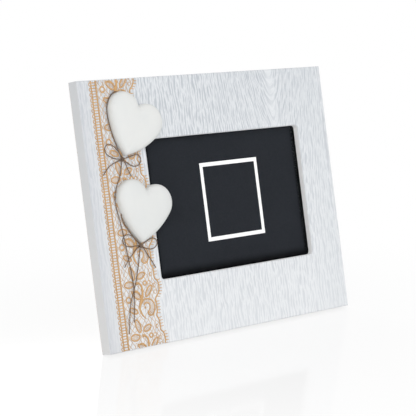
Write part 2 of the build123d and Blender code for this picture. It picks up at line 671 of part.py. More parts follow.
os.makedirs("parts", exist_ok=True)
for name, shape in standing.items():
    export_step(Pos(0, -depth_centre, 0) * shape, f"parts/{name}.step")
hinge_at = Pos(0, -depth_centre, 0) * stand * Pos(hinge_x, hinge_y, hinge_z)
print("strut hinge axis at", hinge_at.position)
for name, (place, _) in button_places().items():
    at = Pos(0, -depth_centre, 0) * stand * Pos(place[0], place[1], board_back)
    print(f"turn button {name} at", at.position)
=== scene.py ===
# %% [markdown]
# # A whitewashed photo frame with two hearts, a lace band and twine bows
# The solids of the frame come from its workshop drawing, already standing on their easel strut. This lesson
# dresses them: it keeps the flat pieces, models the soft and round ones again in finer form, and gives
# every surface a finish that is made of nodes only.

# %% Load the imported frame
import json
import math
import random

import bmesh
import bpy
from mathutils import Color, Matrix, Vector
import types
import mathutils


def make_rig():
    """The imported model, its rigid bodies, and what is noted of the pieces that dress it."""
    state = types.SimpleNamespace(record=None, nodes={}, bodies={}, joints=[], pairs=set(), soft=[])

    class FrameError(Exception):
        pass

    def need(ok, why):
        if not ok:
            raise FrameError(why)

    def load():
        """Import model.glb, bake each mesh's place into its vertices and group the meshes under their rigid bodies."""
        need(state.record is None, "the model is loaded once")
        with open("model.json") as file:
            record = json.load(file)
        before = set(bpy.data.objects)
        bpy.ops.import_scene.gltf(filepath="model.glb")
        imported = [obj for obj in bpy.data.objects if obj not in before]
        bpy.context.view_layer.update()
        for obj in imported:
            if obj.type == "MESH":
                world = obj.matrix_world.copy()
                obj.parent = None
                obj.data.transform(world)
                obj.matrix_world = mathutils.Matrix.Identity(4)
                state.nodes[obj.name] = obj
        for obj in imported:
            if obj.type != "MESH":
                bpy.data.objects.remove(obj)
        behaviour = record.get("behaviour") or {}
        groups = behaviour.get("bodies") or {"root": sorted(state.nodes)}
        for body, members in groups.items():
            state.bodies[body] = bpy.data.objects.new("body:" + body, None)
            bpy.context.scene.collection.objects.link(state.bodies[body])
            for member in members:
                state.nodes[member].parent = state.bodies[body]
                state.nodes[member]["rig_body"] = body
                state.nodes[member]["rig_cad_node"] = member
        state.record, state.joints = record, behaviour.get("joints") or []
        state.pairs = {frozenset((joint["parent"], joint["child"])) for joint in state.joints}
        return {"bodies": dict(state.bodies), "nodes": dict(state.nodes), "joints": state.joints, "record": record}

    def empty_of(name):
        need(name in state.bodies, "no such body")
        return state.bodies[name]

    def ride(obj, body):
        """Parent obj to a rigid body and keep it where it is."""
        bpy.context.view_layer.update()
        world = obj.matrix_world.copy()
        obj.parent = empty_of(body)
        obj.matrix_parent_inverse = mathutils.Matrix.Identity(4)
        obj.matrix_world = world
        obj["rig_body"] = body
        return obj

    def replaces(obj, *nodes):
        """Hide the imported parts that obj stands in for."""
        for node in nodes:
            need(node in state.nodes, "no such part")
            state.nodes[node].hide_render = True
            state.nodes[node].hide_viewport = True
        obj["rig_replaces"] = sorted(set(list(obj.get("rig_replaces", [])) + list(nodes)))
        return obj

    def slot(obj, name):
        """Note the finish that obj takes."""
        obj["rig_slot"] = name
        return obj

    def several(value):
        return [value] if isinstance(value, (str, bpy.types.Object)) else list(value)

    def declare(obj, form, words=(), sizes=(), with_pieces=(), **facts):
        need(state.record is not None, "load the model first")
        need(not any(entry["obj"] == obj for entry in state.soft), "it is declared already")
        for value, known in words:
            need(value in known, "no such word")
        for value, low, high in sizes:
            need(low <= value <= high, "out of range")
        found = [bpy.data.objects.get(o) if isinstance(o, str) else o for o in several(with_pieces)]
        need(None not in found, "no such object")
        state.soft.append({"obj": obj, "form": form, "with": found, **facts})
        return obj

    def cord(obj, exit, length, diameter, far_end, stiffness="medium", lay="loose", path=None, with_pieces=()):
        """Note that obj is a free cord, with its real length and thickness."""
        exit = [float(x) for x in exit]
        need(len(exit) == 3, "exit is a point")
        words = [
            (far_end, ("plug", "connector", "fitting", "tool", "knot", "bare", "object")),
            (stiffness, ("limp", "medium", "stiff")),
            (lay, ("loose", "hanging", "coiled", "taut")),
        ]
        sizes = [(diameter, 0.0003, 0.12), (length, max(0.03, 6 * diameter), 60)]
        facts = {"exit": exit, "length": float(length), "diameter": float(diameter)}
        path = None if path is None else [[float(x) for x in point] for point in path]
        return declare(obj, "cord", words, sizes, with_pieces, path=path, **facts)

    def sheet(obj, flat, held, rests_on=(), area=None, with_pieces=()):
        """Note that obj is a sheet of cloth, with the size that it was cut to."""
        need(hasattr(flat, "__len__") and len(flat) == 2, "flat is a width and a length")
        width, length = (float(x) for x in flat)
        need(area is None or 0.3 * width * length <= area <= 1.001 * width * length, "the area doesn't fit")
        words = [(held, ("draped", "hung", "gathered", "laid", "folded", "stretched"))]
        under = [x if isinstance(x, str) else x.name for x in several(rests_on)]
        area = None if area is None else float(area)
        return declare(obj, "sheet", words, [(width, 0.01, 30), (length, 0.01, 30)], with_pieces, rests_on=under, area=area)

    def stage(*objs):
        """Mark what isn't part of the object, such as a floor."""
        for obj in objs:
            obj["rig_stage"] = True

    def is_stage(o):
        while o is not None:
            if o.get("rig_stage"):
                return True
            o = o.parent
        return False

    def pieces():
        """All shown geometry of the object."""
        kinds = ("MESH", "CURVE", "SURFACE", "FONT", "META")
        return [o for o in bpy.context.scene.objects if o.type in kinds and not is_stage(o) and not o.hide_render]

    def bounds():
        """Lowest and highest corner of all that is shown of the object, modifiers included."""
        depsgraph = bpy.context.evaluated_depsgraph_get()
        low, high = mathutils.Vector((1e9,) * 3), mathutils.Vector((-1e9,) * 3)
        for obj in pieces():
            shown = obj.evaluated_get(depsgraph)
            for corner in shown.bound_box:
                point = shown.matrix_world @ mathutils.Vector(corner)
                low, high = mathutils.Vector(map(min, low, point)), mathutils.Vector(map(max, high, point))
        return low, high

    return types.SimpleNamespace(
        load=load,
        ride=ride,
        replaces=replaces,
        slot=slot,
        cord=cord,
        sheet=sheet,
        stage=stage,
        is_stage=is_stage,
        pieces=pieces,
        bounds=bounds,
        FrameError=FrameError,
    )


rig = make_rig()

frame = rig.load()
cad_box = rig.bounds()
nodes = frame["nodes"]
print("solids loaded:", len(nodes))

# %% [markdown]
# The board leans back, so a lace thread or a bow is awkward to place in upright coordinates. It is easier
# to think of the frame lying face up on a bench: u to the right, v up the board and w out of its face, all
# from the lower left corner of the face. One matrix then stands the finished piece up. Its directions come
# from the axis of a turn button, which is square to the board, and its corner from the board's own
# vertices. Operators act on what is selected, so one helper chooses pieces, and another puts a piece in its
# place and applies that to its mesh.

# %% Bench coordinates of the board
MM = 0.001
turn_axis = [joint["axis"] for joint in frame["joints"] if joint["name"].endswith("_turn")][0]
OUT = -Vector(turn_axis).normalized()
UP = Vector((0, OUT.z, -OUT.y))
RIGHT = Vector((1, 0, 0))
board_points = [vertex.co for vertex in nodes["front_frame"].data.vertices]
board_left = min(point.x for point in board_points)
board_bottom = min(point.dot(UP) for point in board_points)
board_face = max(point.dot(OUT) for point in board_points)
corner = RIGHT * board_left + UP * board_bottom + OUT * board_face
BENCH = Matrix.Translation(corner) @ Matrix((RIGHT, UP, OUT)).transposed().to_4x4()
BOARD_WIDTH = 2 * abs(board_left) / MM
BOARD_HEIGHT = max(point.dot(UP) for point in board_points) / MM - board_bottom / MM


def on_board(u, v, w):
    """World place of a point in millimetres on the bench."""
    return BENCH @ (Vector((u, v, w)) * MM)


def choose(*chosen):
    """Object mode, with only these pieces selected and the first one active."""
    if bpy.context.mode != "OBJECT":
        bpy.ops.object.mode_set(mode="OBJECT")
    bpy.ops.object.select_all(action="DESELECT")
    for piece in chosen:
        piece.select_set(True)
    if chosen:
        bpy.context.view_layer.objects.active = chosen[0]


def settle(piece, matrix):
    """Puts a piece where the matrix says, with its place in its mesh."""
    piece.matrix_world = matrix
    choose(piece)
    bpy.ops.object.transform_apply(location=True, rotation=True, scale=True)
    return piece


choose()
print(f"board {BOARD_WIDTH:.1f} x {BOARD_HEIGHT:.1f} mm, leaning {math.degrees(math.asin(UP.y)):.1f} degrees")

# %% [markdown]
# The camera stands to the left of the frame and a little above it, about a metre away, with a long lens, so
# the sides of the board stay nearly parallel. It could be turned by hand until the view fits; a place and a
# direction say the same and can be read.

# %% Camera
CAMERA_PLACE = (-0.7409, -0.8103, 0.25095)
CAMERA_AIM = (0.66575, 0.7306, -0.1516)
CAMERA_LENS = 138.13
FILM_WIDTH = 36
aim = Vector(CAMERA_AIM).to_track_quat("-Z", "Y")
bpy.ops.object.camera_add(location=CAMERA_PLACE, rotation=aim.to_euler())
camera = bpy.context.object
camera.data.lens = CAMERA_LENS
camera.data.sensor_width = FILM_WIDTH
bpy.context.scene.camera = camera
print(f"camera at {Vector(CAMERA_PLACE).length:.2f} m")

# %% [markdown]
# The bows are thin waxed twine, laid on the lace and caught in two knots. A cord could be bent from a long
# cylinder, but a route of a few control points is the better start: it can be read, and moved point by
# point. Where one cord crosses another it climbs by one thickness, so every point has a height as well.

# %% Twine routes
LOW = 0.85
HIGH = 1.75
ROUTES = {
    "upper_rim_cord": [
        (35.2, 164.6, LOW), (31.5, 170.1, LOW), (26.2, 167.6, LOW), (21.9, 162.2, LOW), (20.7, 155.4, LOW),
        (21.6, 147.8, LOW), (23.4, 139.8, LOW), (25.9, 132.4, LOW), (28.1, 125.7, LOW),
    ],
    "upper_bow_left": [
        (28.2, 125.9, HIGH), (25.6, 130.2, HIGH), (22.4, 134.2, LOW), (18.4, 135.6, LOW), (15.2, 133.2, LOW),
        (15.6, 129.2, LOW), (19.8, 126.4, LOW), (24.9, 124.9, LOW), (28.4, 124.8, HIGH), (30.4, 121.6, HIGH),
        (32.4, 117.2, LOW), (34.7, 112.9, LOW),
    ],
    "upper_bow_right": [
        (29.8, 124.9, LOW), (34.0, 125.2, LOW), (38.8, 126.6, LOW), (42.8, 126.8, LOW), (44.8, 123.6, LOW),
        (42.9, 119.8, LOW), (38.6, 118.7, LOW), (34.2, 120.6, LOW), (31.3, 122.8, LOW), (28.5, 124.0, LOW),
        (24.4, 123.4, LOW), (19.0, 121.7, LOW), (14.6, 118.7, LOW), (11.6, 115.3, LOW),
    ],
    "link_cord": [
        (28.1, 123.0, LOW), (26.9, 118.4, LOW), (25.1, 113.2, LOW), (21.6, 107.9, LOW), (18.9, 102.0, LOW),
        (18.4, 95.4, LOW), (19.6, 89.0, LOW), (21.2, 81.0, LOW), (22.3, 72.0, LOW), (23.4, 61.5, LOW),
        (24.7, 50.5, LOW), (25.1, 40.5, LOW), (24.0, 28.6, LOW), (21.7, 17.8, LOW),
    ],
    "lower_rim_cord": [
        (30.4, 92.4, LOW), (26.2, 90.5, LOW), (21.6, 88.4, LOW), (22.9, 84.0, LOW), (24.9, 80.2, LOW),
        (27.6, 76.4, LOW), (30.7, 72.2, LOW), (33.9, 68.1, LOW),
    ],
    "lower_bow_left": [
        (33.9, 68.4, HIGH), (30.6, 71.8, HIGH), (26.8, 75.0, HIGH), (22.4, 75.3, HIGH), (19.6, 72.4, HIGH),
        (20.6, 68.8, HIGH), (24.2, 67.2, HIGH), (28.0, 66.9, LOW), (31.2, 67.1, LOW), (34.7, 67.3, HIGH),
        (36.9, 64.8, HIGH), (39.6, 60.8, LOW), (43.0, 56.0, LOW), (45.6, 51.0, LOW),
    ],
    "lower_bow_right": [
        (36.2, 67.2, LOW), (40.6, 69.2, LOW), (45.4, 71.0, LOW), (49.0, 69.8, LOW), (49.6, 66.2, LOW),
        (46.6, 63.8, LOW), (42.4, 63.5, LOW), (39.2, 64.7, LOW), (36.6, 65.9, LOW), (33.7, 66.5, LOW),
        (29.6, 63.9, LOW), (25.4, 60.9, HIGH), (21.8, 58.0, HIGH), (19.6, 54.2, LOW),
    ],
    "tail_cord": [
        (34.4, 65.2, LOW), (33.0, 60.4, LOW), (31.2, 54.2, LOW), (28.6, 47.2, LOW), (26.0, 42.0, HIGH),
        (23.2, 37.0, HIGH), (20.6, 30.0, LOW), (18.4, 20.4, LOW), (16.6, 10.8, LOW),
    ],
}
print("twine routes:", len(ROUTES))

# %% [markdown]
# A thin cord bends smoothly and never has corners. Straight runs from point to point would show them, so a
# NURBS spline of order 3 rounds each route. It is drawn as a curve, read as a row of points that lie close
# together, and removed again: the points are all that is needed, and they give the cord's length as well.

# %% Smooth lines along the routes
ROUTE_STEPS = 24


def add_spline(curve, kind, points):
    """Adds a line of points to a curve."""
    spline = curve.splines.new(kind)
    spline.points.add(len(points) - 1)
    for control, point in zip(spline.points, points):
        control.co = (*point, 1)
    return spline


def spline_line(name, points):
    """Points along the smooth spline that a row of control points draws."""
    curve = bpy.data.curves.new(name, "CURVE")
    curve.dimensions = "3D"
    spline = add_spline(curve, "NURBS", points)
    spline.order_u = 3
    spline.use_endpoint_u = True
    spline.resolution_u = ROUTE_STEPS
    holder = bpy.data.objects.new(name, curve)
    bpy.context.collection.objects.link(holder)
    drawn = bpy.data.meshes.new_from_object(holder)
    line = [vertex.co.copy() for vertex in drawn.vertices]
    bpy.data.objects.remove(holder)
    bpy.data.curves.remove(curve)
    bpy.data.meshes.remove(drawn)
    return line


def line_length(line):
    """Length of a line of points."""
    return sum((after - before).length for before, after in zip(line, line[1:]))


lines = {name: spline_line(name, [on_board(*point) for point in route]) for name, route in ROUTES.items()}
for name, line in lines.items():
    print(f"{name}: {line_length(line) / MM:.1f} mm")

# %% [markdown]
# Twine is never a smooth rod. Two plies are twisted round each other, which shows as a fine slanting
# groove. A bump in the material could only hint at it, so each ply gets a line of its own, which circles
# round the spline as it goes along.

# %% Twisted plies
PLY_ORBIT = 0.16
TWIST_PITCH = 2.4
PLIES = 2


def twisted(line, ply):
    """One ply's points: the spline's points, moved round it in step with the length gone."""
    gone = 0.0
    points = []
    for index, place in enumerate(line):
        before = line[max(index - 1, 0)]
        after = line[min(index + 1, len(line) - 1)]
        along = (after - before).normalized()
        side = along.cross(OUT).normalized()
        rise = side.cross(along)
        gone += (place - before).length
        turn = math.tau * (gone / (TWIST_PITCH * MM) + ply / PLIES)
        points.append(place + (side * math.cos(turn) + rise * math.sin(turn)) * PLY_ORBIT * MM)
    return points


print("plies:", PLIES, "with a full turn in", TWIST_PITCH, "mm")

# %% [markdown]
# A row of points becomes a tube when its curve gets a round bevel and is then made a mesh. Its ends are
# closed, and a few sides are enough for so thin a tube once it is shaded smooth. The lace will use the same
# helpers.

# %% Tubes of twine
PLY_DIAMETER = 0.42


def start_tubes(name, diameter):
    """Curve whose lines are round tubes with closed ends."""
    curve = bpy.data.curves.new(name, "CURVE")
    curve.dimensions = "3D"
    curve.bevel_depth = diameter / 2
    curve.bevel_resolution = 1
    curve.use_fill_caps = True
    return curve


def finish_tubes(curve):
    """Makes the tubes of a curve one smooth mesh."""
    piece = bpy.data.objects.new(curve.name, curve)
    bpy.context.collection.objects.link(piece)
    choose(piece)
    bpy.ops.object.convert(target="MESH")
    bpy.ops.object.shade_smooth()
    return bpy.context.object


def round_tubes(name, rows, diameter):
    """Rows of points as round tubes in one mesh."""
    curve = start_tubes(name, diameter)
    for row in rows:
        add_spline(curve, "POLY", row)
    return finish_tubes(curve)


def make_twine(name, line):
    """Plies of twine, twisted round a line."""
    rows = [twisted(line, ply) for ply in range(PLIES)]
    return round_tubes(f"twine_{name}", rows, PLY_DIAMETER * MM)


twine = {name: make_twine(name, line) for name, line in lines.items()}
print("twine pieces:", len(twine), "faces:", sum(len(piece.data.polygons) for piece in twine.values()))

# %% [markdown]
# Each knot is the same twine, wound tightly round the place where the cords of a bow meet. Its turns are a
# short helix, drawn with a spline too, pressed to the height of the crossing.

# %% Knots
KNOTS = {"upper_knot": (28.6, 124.5, -20), "lower_knot": (34.9, 66.7, -8)}
KNOT_TURNS = 3
KNOT_PITCH = 0.66
KNOT_HALF_WIDTH = 1.15
KNOT_HALF_HEIGHT = 0.82
KNOT_LEVEL = 1.62
POINTS_PER_TURN = 10


def knot_route(u, v, slant):
    """Control points of the turns round a crossing; slant is the direction of the bow in degrees."""
    turn = math.radians(slant)
    along = Vector((math.cos(turn), math.sin(turn), 0))
    across = Vector((-along.y, along.x, 0))
    points = []
    for step in range(KNOT_TURNS * POINTS_PER_TURN + 1):
        turns = step / POINTS_PER_TURN
        angle = math.tau * turns
        place = Vector((u, v, KNOT_LEVEL)) + along * KNOT_PITCH * (turns - KNOT_TURNS / 2)
        place += across * KNOT_HALF_WIDTH * math.cos(angle)
        place.z += KNOT_HALF_HEIGHT * math.sin(angle)
        points.append(on_board(*place))
    return points


for name, knot in KNOTS.items():
    twine[name] = make_twine(name, spline_line(name, knot_route(*knot)))
print("knots:", list(KNOTS))

# The cords at the hearts start under them and end in a knot; the others leave a knot and end bare.

CORD_DIAMETER = 0.8
ON_CORD = {"upper_bow_right": "upper_knot", "lower_bow_right": "lower_knot"}
for name, line in lines.items():
    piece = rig.ride(twine[name], "frame")
    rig.replaces(piece, name)
    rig.slot(piece, "twine")
    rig.cord(
        piece,
        exit=line[0],
        length=line_length(line),
        diameter=CORD_DIAMETER * MM,
        far_end="knot" if name.endswith("rim_cord") else "bare",
        stiffness="limp",
        lay="hanging",
        path=line,
        with_pieces=[twine[ON_CORD[name]]] if name in ON_CORD else [],
    )
for name in KNOTS:
    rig.slot(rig.replaces(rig.ride(twine[name], "frame"), name), "twine")
print("cords declared:", len(lines))

# %% [markdown]
# The lace is a narrow cotton trim: a ladder braid with small loops down its left side, a scalloped braid
# with picots on its right, and between them leaves, rings and a curling flower on a ground of fine threads.
# All of it is thread of some width, so it is drawn as rows of points and made into tubes that are pressed
# flat. The straight and scalloped braids run the whole height of the board. The pattern between them
# repeats, so one repeat is drawn, and an Array modifier lays it up the board. Places are measured from the
# ladder's right side and the board's foot.

# %% Lace: drawing threads
LADDER_SIDE = 16.0
REPEAT = 34.6
LACE_TOP = 0.4
FLATNESS = 0.55
CURVE_STEPS = 4
threads = {}


def thread(width, points, closed=False, runs_on=False, shares=None):
    """Adds a thread to draw, straight between two points or smooth through more; shares thin it at points."""
    threads.setdefault((width, runs_on), []).append((points, closed, shares or [1] * len(points)))


def add_smooth_spline(curve, points):
    """Adds a line that curves gently through its points."""
    spline = curve.splines.new("BEZIER")
    spline.bezier_points.add(len(points) - 1)
    for control, point in zip(spline.bezier_points, points):
        control.co = point
        control.handle_left_type = "AUTO"
        control.handle_right_type = "AUTO"
    return spline


def press(piece, width, height):
    """Flattens tubes of a width to a height and lays them on the face."""
    flat = Matrix.Diagonal((1, 1, height / width, 1))
    return settle(piece, Matrix.Translation((0, 0, height / 2 * MM)) @ flat)


def draw_threads(width, runs_on):
    """Flat tubes for all threads of one width."""
    curve = start_tubes("thread", width * MM)
    curve.resolution_u = CURVE_STEPS
    for points, closed, shares in threads[width, runs_on]:
        places = [(x * MM, y * MM, 0) for x, y in points]
        if len(places) == 2:
            spline = add_spline(curve, "POLY", places)
        else:
            spline = add_smooth_spline(curve, places)
        for control, share in zip(spline.bezier_points or spline.points, shares):
            control.radius = share
        spline.use_cyclic_u = closed
    return press(finish_tubes(curve), width, min(LACE_TOP, FLATNESS * width))


print("lace top at", LACE_TOP, "mm")

# %% [markdown]
# The ladder has two rails, the right one stouter than the left. Each is a plait of two threads that swing
# past each other, so a sine wave and its mirror image draw it. Rungs join the rails, and small loops hang
# outside.

# %% Lace: ladder
RAILS = {-0.95: 0.84, -4.8: 0.62}
LEFT_RAIL = min(RAILS)
RIGHT_RAIL = max(RAILS)
RAIL_SWING = 0.24
RUNGS = 19
RUNG_WIDTH = 0.6
PLAIT_PITCH = REPEAT / RUNGS
PLAIT_STEPS = 6
LOOPS = 10
LOOP_WIDTH = 0.58
LOOP = [(0, -1.1), (-1.0, -1.1), (-1.8, 0), (-1.0, 1.1), (0, 1.1)]
RUN_ON = 1.0


def plait_rows(rail):
    """Two swinging threads of a rail, over the whole height."""
    count = int((BOARD_HEIGHT + 2 * RUN_ON) / PLAIT_PITCH * PLAIT_STEPS) + 1
    for phase in (0, math.pi):
        row = []
        for step in range(count):
            angle = math.tau * step / PLAIT_STEPS + phase
            row.append((rail + RAIL_SWING * math.sin(angle), step * PLAIT_PITCH / PLAIT_STEPS - RUN_ON))
        yield row


for rung in range(RUNGS):
    level = (rung + 0.5) * REPEAT / RUNGS
    thread(RUNG_WIDTH, [(LEFT_RAIL, level), (RIGHT_RAIL, level)])
for loop in range(LOOPS):
    level = (loop + 0.5) * REPEAT / LOOPS
    thread(LOOP_WIDTH, [(LEFT_RAIL + aside, level + above) for aside, above in LOOP])
print("rungs and loops in a repeat:", RUNGS, LOOPS)

# %% [markdown]
# The right edge is one scalloped braid. Arcs would make all its scallops alike, so it is a smooth line
# through a row of points, and each scallop has its own width. The row is one repeat long, and copies of it,
# moved up by whole repeats, give the whole edge.

# %% Lace: scalloped edge
EDGE = [
    (28.3, 9.2), (27.8, 12.0), (27.8, 15.0), (27.3, 17.2), (26.0, 19.6), (27.0, 22.2), (27.2, 25.2),
    (26.9, 28.4), (26.8, 30.6), (28.4, 32.6), (30.2, 35.0), (30.9, 38.0), (30.5, 41.0), (29.4, 43.0),
]
EDGE_WIDTH = 1.0
EDGE_REPEATS = range(-1, 6)


def shifted(points, repeats):
    """Points moved up by whole repeats."""
    return [(x, y + repeats * REPEAT) for x, y in points]


whole_edge = [point for repeats in EDGE_REPEATS for point in shifted(EDGE, repeats)]
thread(EDGE_WIDTH, whole_edge, runs_on=True)
print("points along the whole edge:", len(whole_edge))

# %% [markdown]
# Picots stand on the scallops: short tapered threads that point right and fan out a little. Placing each by
# hand would be slow, so they are set out by walking along the edge in even steps, and none stand in the
# dips between two scallops.

# %% Lace: picots
DIPS = [(28.3, 9.2), (26.0, 19.6), (26.8, 30.6)]
DIP_CLEAR = 1.4
SPIKE_PITCH = 1.92
SPIKE_LENGTH = 2.9
SPIKE_WIDTH = 0.62
SPIKE_TAPER = (1, 0.6)
SPIKE_FAN = 0.35


def spike_rows():
    """Evenly spaced picots along one repeat of the edge, pointing right and fanning out a little."""
    rim = EDGE + shifted(EDGE[:1], 1)
    wait = SPIKE_PITCH / 2
    for (x0, y0), (x1, y1) in zip(rim, rim[1:]):
        run = math.hypot(x1 - x0, y1 - y0)
        out = Vector((1, SPIKE_FAN * (x0 - x1) / run)).normalized()
        while wait < run:
            x = x0 + (x1 - x0) * wait / run
            y = y0 + (y1 - y0) * wait / run
            wait += SPIKE_PITCH
            near = [math.hypot(x - a, y - b) for a, b in DIPS + shifted(DIPS[:1], 1)]
            if min(near) > DIP_CLEAR:
                yield [(x, y), (x + out.x * SPIKE_LENGTH, y + out.y * SPIKE_LENGTH)]
        wait -= run


for row in spike_rows():
    thread(SPIKE_WIDTH, row, shares=SPIKE_TAPER)
print("picots on a repeat of the edge:", len(threads[SPIKE_WIDTH, False]))

# %% [markdown]
# A leaf is a pointed oval of braid, filled with a net of fine threads. An ellipse would have round tips, so
# the half width falls off towards the tips along a steeper curve, and the same curve gives each filling
# thread its length.

# %% Lace: shape of a leaf
LEAF_CURVE = 0.62


def leaf_half_width(along, half_length, half_width):
    """Half width of a leaf at a place along its length."""
    return half_width * max(0.0, 1 - (along / half_length) ** 2) ** LEAF_CURVE


def leaf_half_length(across, half_length, half_width):
    """Half length of a leaf at a place across its width."""
    return half_length * (1 - (abs(across) / half_width) ** (1 / LEAF_CURVE)) ** 0.5


def leaf_place(leaf, along, across):
    """Place in the lace of a point that is measured from a leaf's middle."""
    x, y, _, _, slant = leaf
    turn = math.radians(slant)
    cosine = math.cos(turn)
    sine = math.sin(turn)
    return (x + along * cosine - across * sine, y + along * sine + across * cosine)


print("half width of a leaf halfway to its tip:", round(leaf_half_width(0.5, 1.0, 1.0), 2))

# %% [markdown]
# Each leaf is listed by the place of its middle, its length and width, and its slant in degrees. Its braid is
# one closed thread. The fill runs across the leaf and along it, in even rows that end at the braid.

# %% Lace: leaves
LEAVES = [
    (5.9, 7.7, 8.6, 5.2, 0),
    (9.3, 14.8, 10.0, 4.8, 106),
    (16.8, 12.6, 7.8, 4.8, 22),
    (21.7, 36.5, 9.6, 4.4, 50),
    (11.2, 34.8, 9.6, 4.8, -34),
    (7.3, 25.0, 8.2, 4.4, -25),
]
LEAF_BRAID = 1.0
LEAF_STEPS = 7
FILL_WIDTH = 0.2
FILL_PITCH = 0.95


def draw_leaf(leaf):
    """Braid round a leaf and its net."""
    half = ((leaf[2] - LEAF_BRAID) / 2, (leaf[3] - LEAF_BRAID) / 2)
    stations = [half[0] * math.cos(math.pi * step / LEAF_STEPS) for step in range(LEAF_STEPS + 1)]
    upper = [(along, leaf_half_width(along, *half)) for along in stations]
    lower = [(along, -across) for along, across in upper[-2:0:-1]]
    thread(LEAF_BRAID, [leaf_place(leaf, along, across) for along, across in upper + lower], closed=True)
    rows = int(half[0] / FILL_PITCH)
    for step in range(-rows, rows + 1):
        along = step * FILL_PITCH
        reach = leaf_half_width(along, *half)
        thread(FILL_WIDTH, [leaf_place(leaf, along, -reach), leaf_place(leaf, along, reach)])
    rows = int(half[1] / FILL_PITCH)
    for step in range(-rows, rows + 1):
        across = step * FILL_PITCH
        reach = leaf_half_length(across, *half)
        thread(FILL_WIDTH, [leaf_place(leaf, -reach, across), leaf_place(leaf, reach, across)])


for leaf in LEAVES:
    draw_leaf(leaf)
print("leaves in a repeat:", len(LEAVES))

# %% [markdown]
# The flower is a crescent petal that curls round a small button, like a snail. A solid petal would look like
# cloth, so it is two lines of braid with the board showing between them. Both lines have the same number of
# points, so short threads can run from one to the other and fill it.

# %% Lace: petal of the flower
PETAL_OUTER = [
    (15.6, 30.6), (18.4, 31.6), (21.8, 31.0), (24.4, 28.8), (25.2, 25.6), (24.4, 22.4), (22.2, 20.4),
    (19.9, 20.8), (18.7, 22.6),
]
PETAL_INNER = [
    (16.2, 27.6), (17.6, 28.7), (19.4, 28.9), (20.8, 27.9), (21.2, 26.0), (20.6, 24.3), (19.6, 23.2),
    (18.9, 22.8), (18.7, 22.6),
]
RAYS_PER_RUN = 4


def between(start, end, share):
    """Place at a share of the way from one point to another."""
    return (start[0] + (end[0] - start[0]) * share, start[1] + (end[1] - start[1]) * share)


thread(LEAF_BRAID, PETAL_OUTER)
thread(LEAF_BRAID, PETAL_INNER)
runs = list(zip(zip(PETAL_OUTER, PETAL_OUTER[1:]), zip(PETAL_INNER, PETAL_INNER[1:])))
for outer, inner in runs[:-1]:
    for ray in range(RAYS_PER_RUN):
        share = ray / RAYS_PER_RUN
        thread(FILL_WIDTH, [between(*outer, share), between(*inner, share)])
print("threads in the petal:", RAYS_PER_RUN * (len(runs) - 1))

# %% [markdown]
# A stem that swells in the middle joins the flower to the next leaves. It is one thick thread, thinned from
# point to point by a list of shares. Small rings sit beside it, and a button with a few spokes is the middle
# of the flower. Rings and buttons are closed threads through points on a circle.

# %% Lace: stem, rings and buttons
STEM = [
    (11.6, 43.3), (14.0, 42.5), (16.0, 40.2), (16.4, 37.0), (15.7, 33.6), (14.5, 30.4), (12.8, 27.2),
    (12.7, 24.4), (14.2, 21.4), (16.4, 19.0),
]
STEM_SHARES = [0.3, 0.45, 0.55, 0.55, 0.7, 1.0, 0.65, 0.45, 0.35, 0.25]
STEM_WIDTH = 2.8
BRANCH = [(8.4, 37.4), (11.2, 37.6), (13.6, 35.4), (14.6, 32.0)]
BRANCH_WIDTH = 1.2
RINGS = [(4.0, 32.6, 2.35), (19.3, 7.4, 1.85)]
SMALL_RINGS = [(26.7, 39.6, 1.5), (27.2, 35.2, 1.4), (25.0, 12.6, 1.4), (22.6, 42.0, 1.3)]
SMALL_BRAID = 0.42
DOTS = [(17.2, 26.0, 0.8), (12.8, 7.8, 0.9)]
RING_POINTS = 8
DOT_POINTS = 6
FLOWER_SPOKES = 7
SPOKE_LENGTH = 3.0


def ring_row(x, y, radius, sides=RING_POINTS):
    """Points on a ring."""
    angles = [math.tau * side / sides for side in range(sides)]
    return [(x + radius * math.cos(angle), y + radius * math.sin(angle)) for angle in angles]


thread(STEM_WIDTH, STEM, shares=STEM_SHARES)
thread(BRANCH_WIDTH, BRANCH)
for x, y, radius in RINGS:
    thread(LEAF_BRAID, ring_row(x, y, radius - LEAF_BRAID / 2), closed=True)
for x, y, radius in SMALL_RINGS:
    thread(SMALL_BRAID, ring_row(x, y, radius - SMALL_BRAID / 2), closed=True)
for x, y, radius in DOTS:
    thread(LEAF_BRAID, ring_row(x, y, radius - LEAF_BRAID / 2, DOT_POINTS), closed=True)
flower_middle = DOTS[0][:2]
for point in ring_row(*flower_middle, SPOKE_LENGTH, FLOWER_SPOKES):
    thread(FILL_WIDTH, [flower_middle, point])
print("rings:", len(RINGS) + len(SMALL_RINGS), "buttons:", len(DOTS))

# %% [markdown]
# Fine single threads tie the motifs together. They could be drawn one by one, but an even net of lozenges is
# near to what such lace has. Every second row of crossings is moved by half a step, and each crossing is
# nudged a little, always in the same way, since lace is never quite even.

# %% Lace: crossings of the ground
NET_ROWS = 14
NET_COLUMNS = 10
NET_STEP = 3.4
NET_START = -0.6
NET_NUDGE = 0.8
nudge = random.Random(12)
net = {}
for row in range(NET_ROWS):
    for column in range(NET_COLUMNS):
        x = NET_STEP * (column + 0.5 * (row % 2)) + NET_START
        y = REPEAT * row / NET_ROWS
        x += nudge.uniform(-NET_NUDGE, NET_NUDGE)
        y += nudge.uniform(-NET_NUDGE, NET_NUDGE)
        net[row, column] = (x, y)
print("crossings in a repeat:", len(net))

# %% [markdown]
# From each crossing a thread runs to the two crossings above it. The ground ends at the scalloped edge, and
# it doesn't run through leaves, rings or the flower. So a thread is kept only inside the edge, and where its
# middle is clear of every motif.

# %% Lace: ground between the motifs
NET_WIDTH = 0.3
LEAF_COVER = 0.8
RING_OVERLAP = 0.4
FLOWER_ROUND = (19.0, 26.0, 6.0)


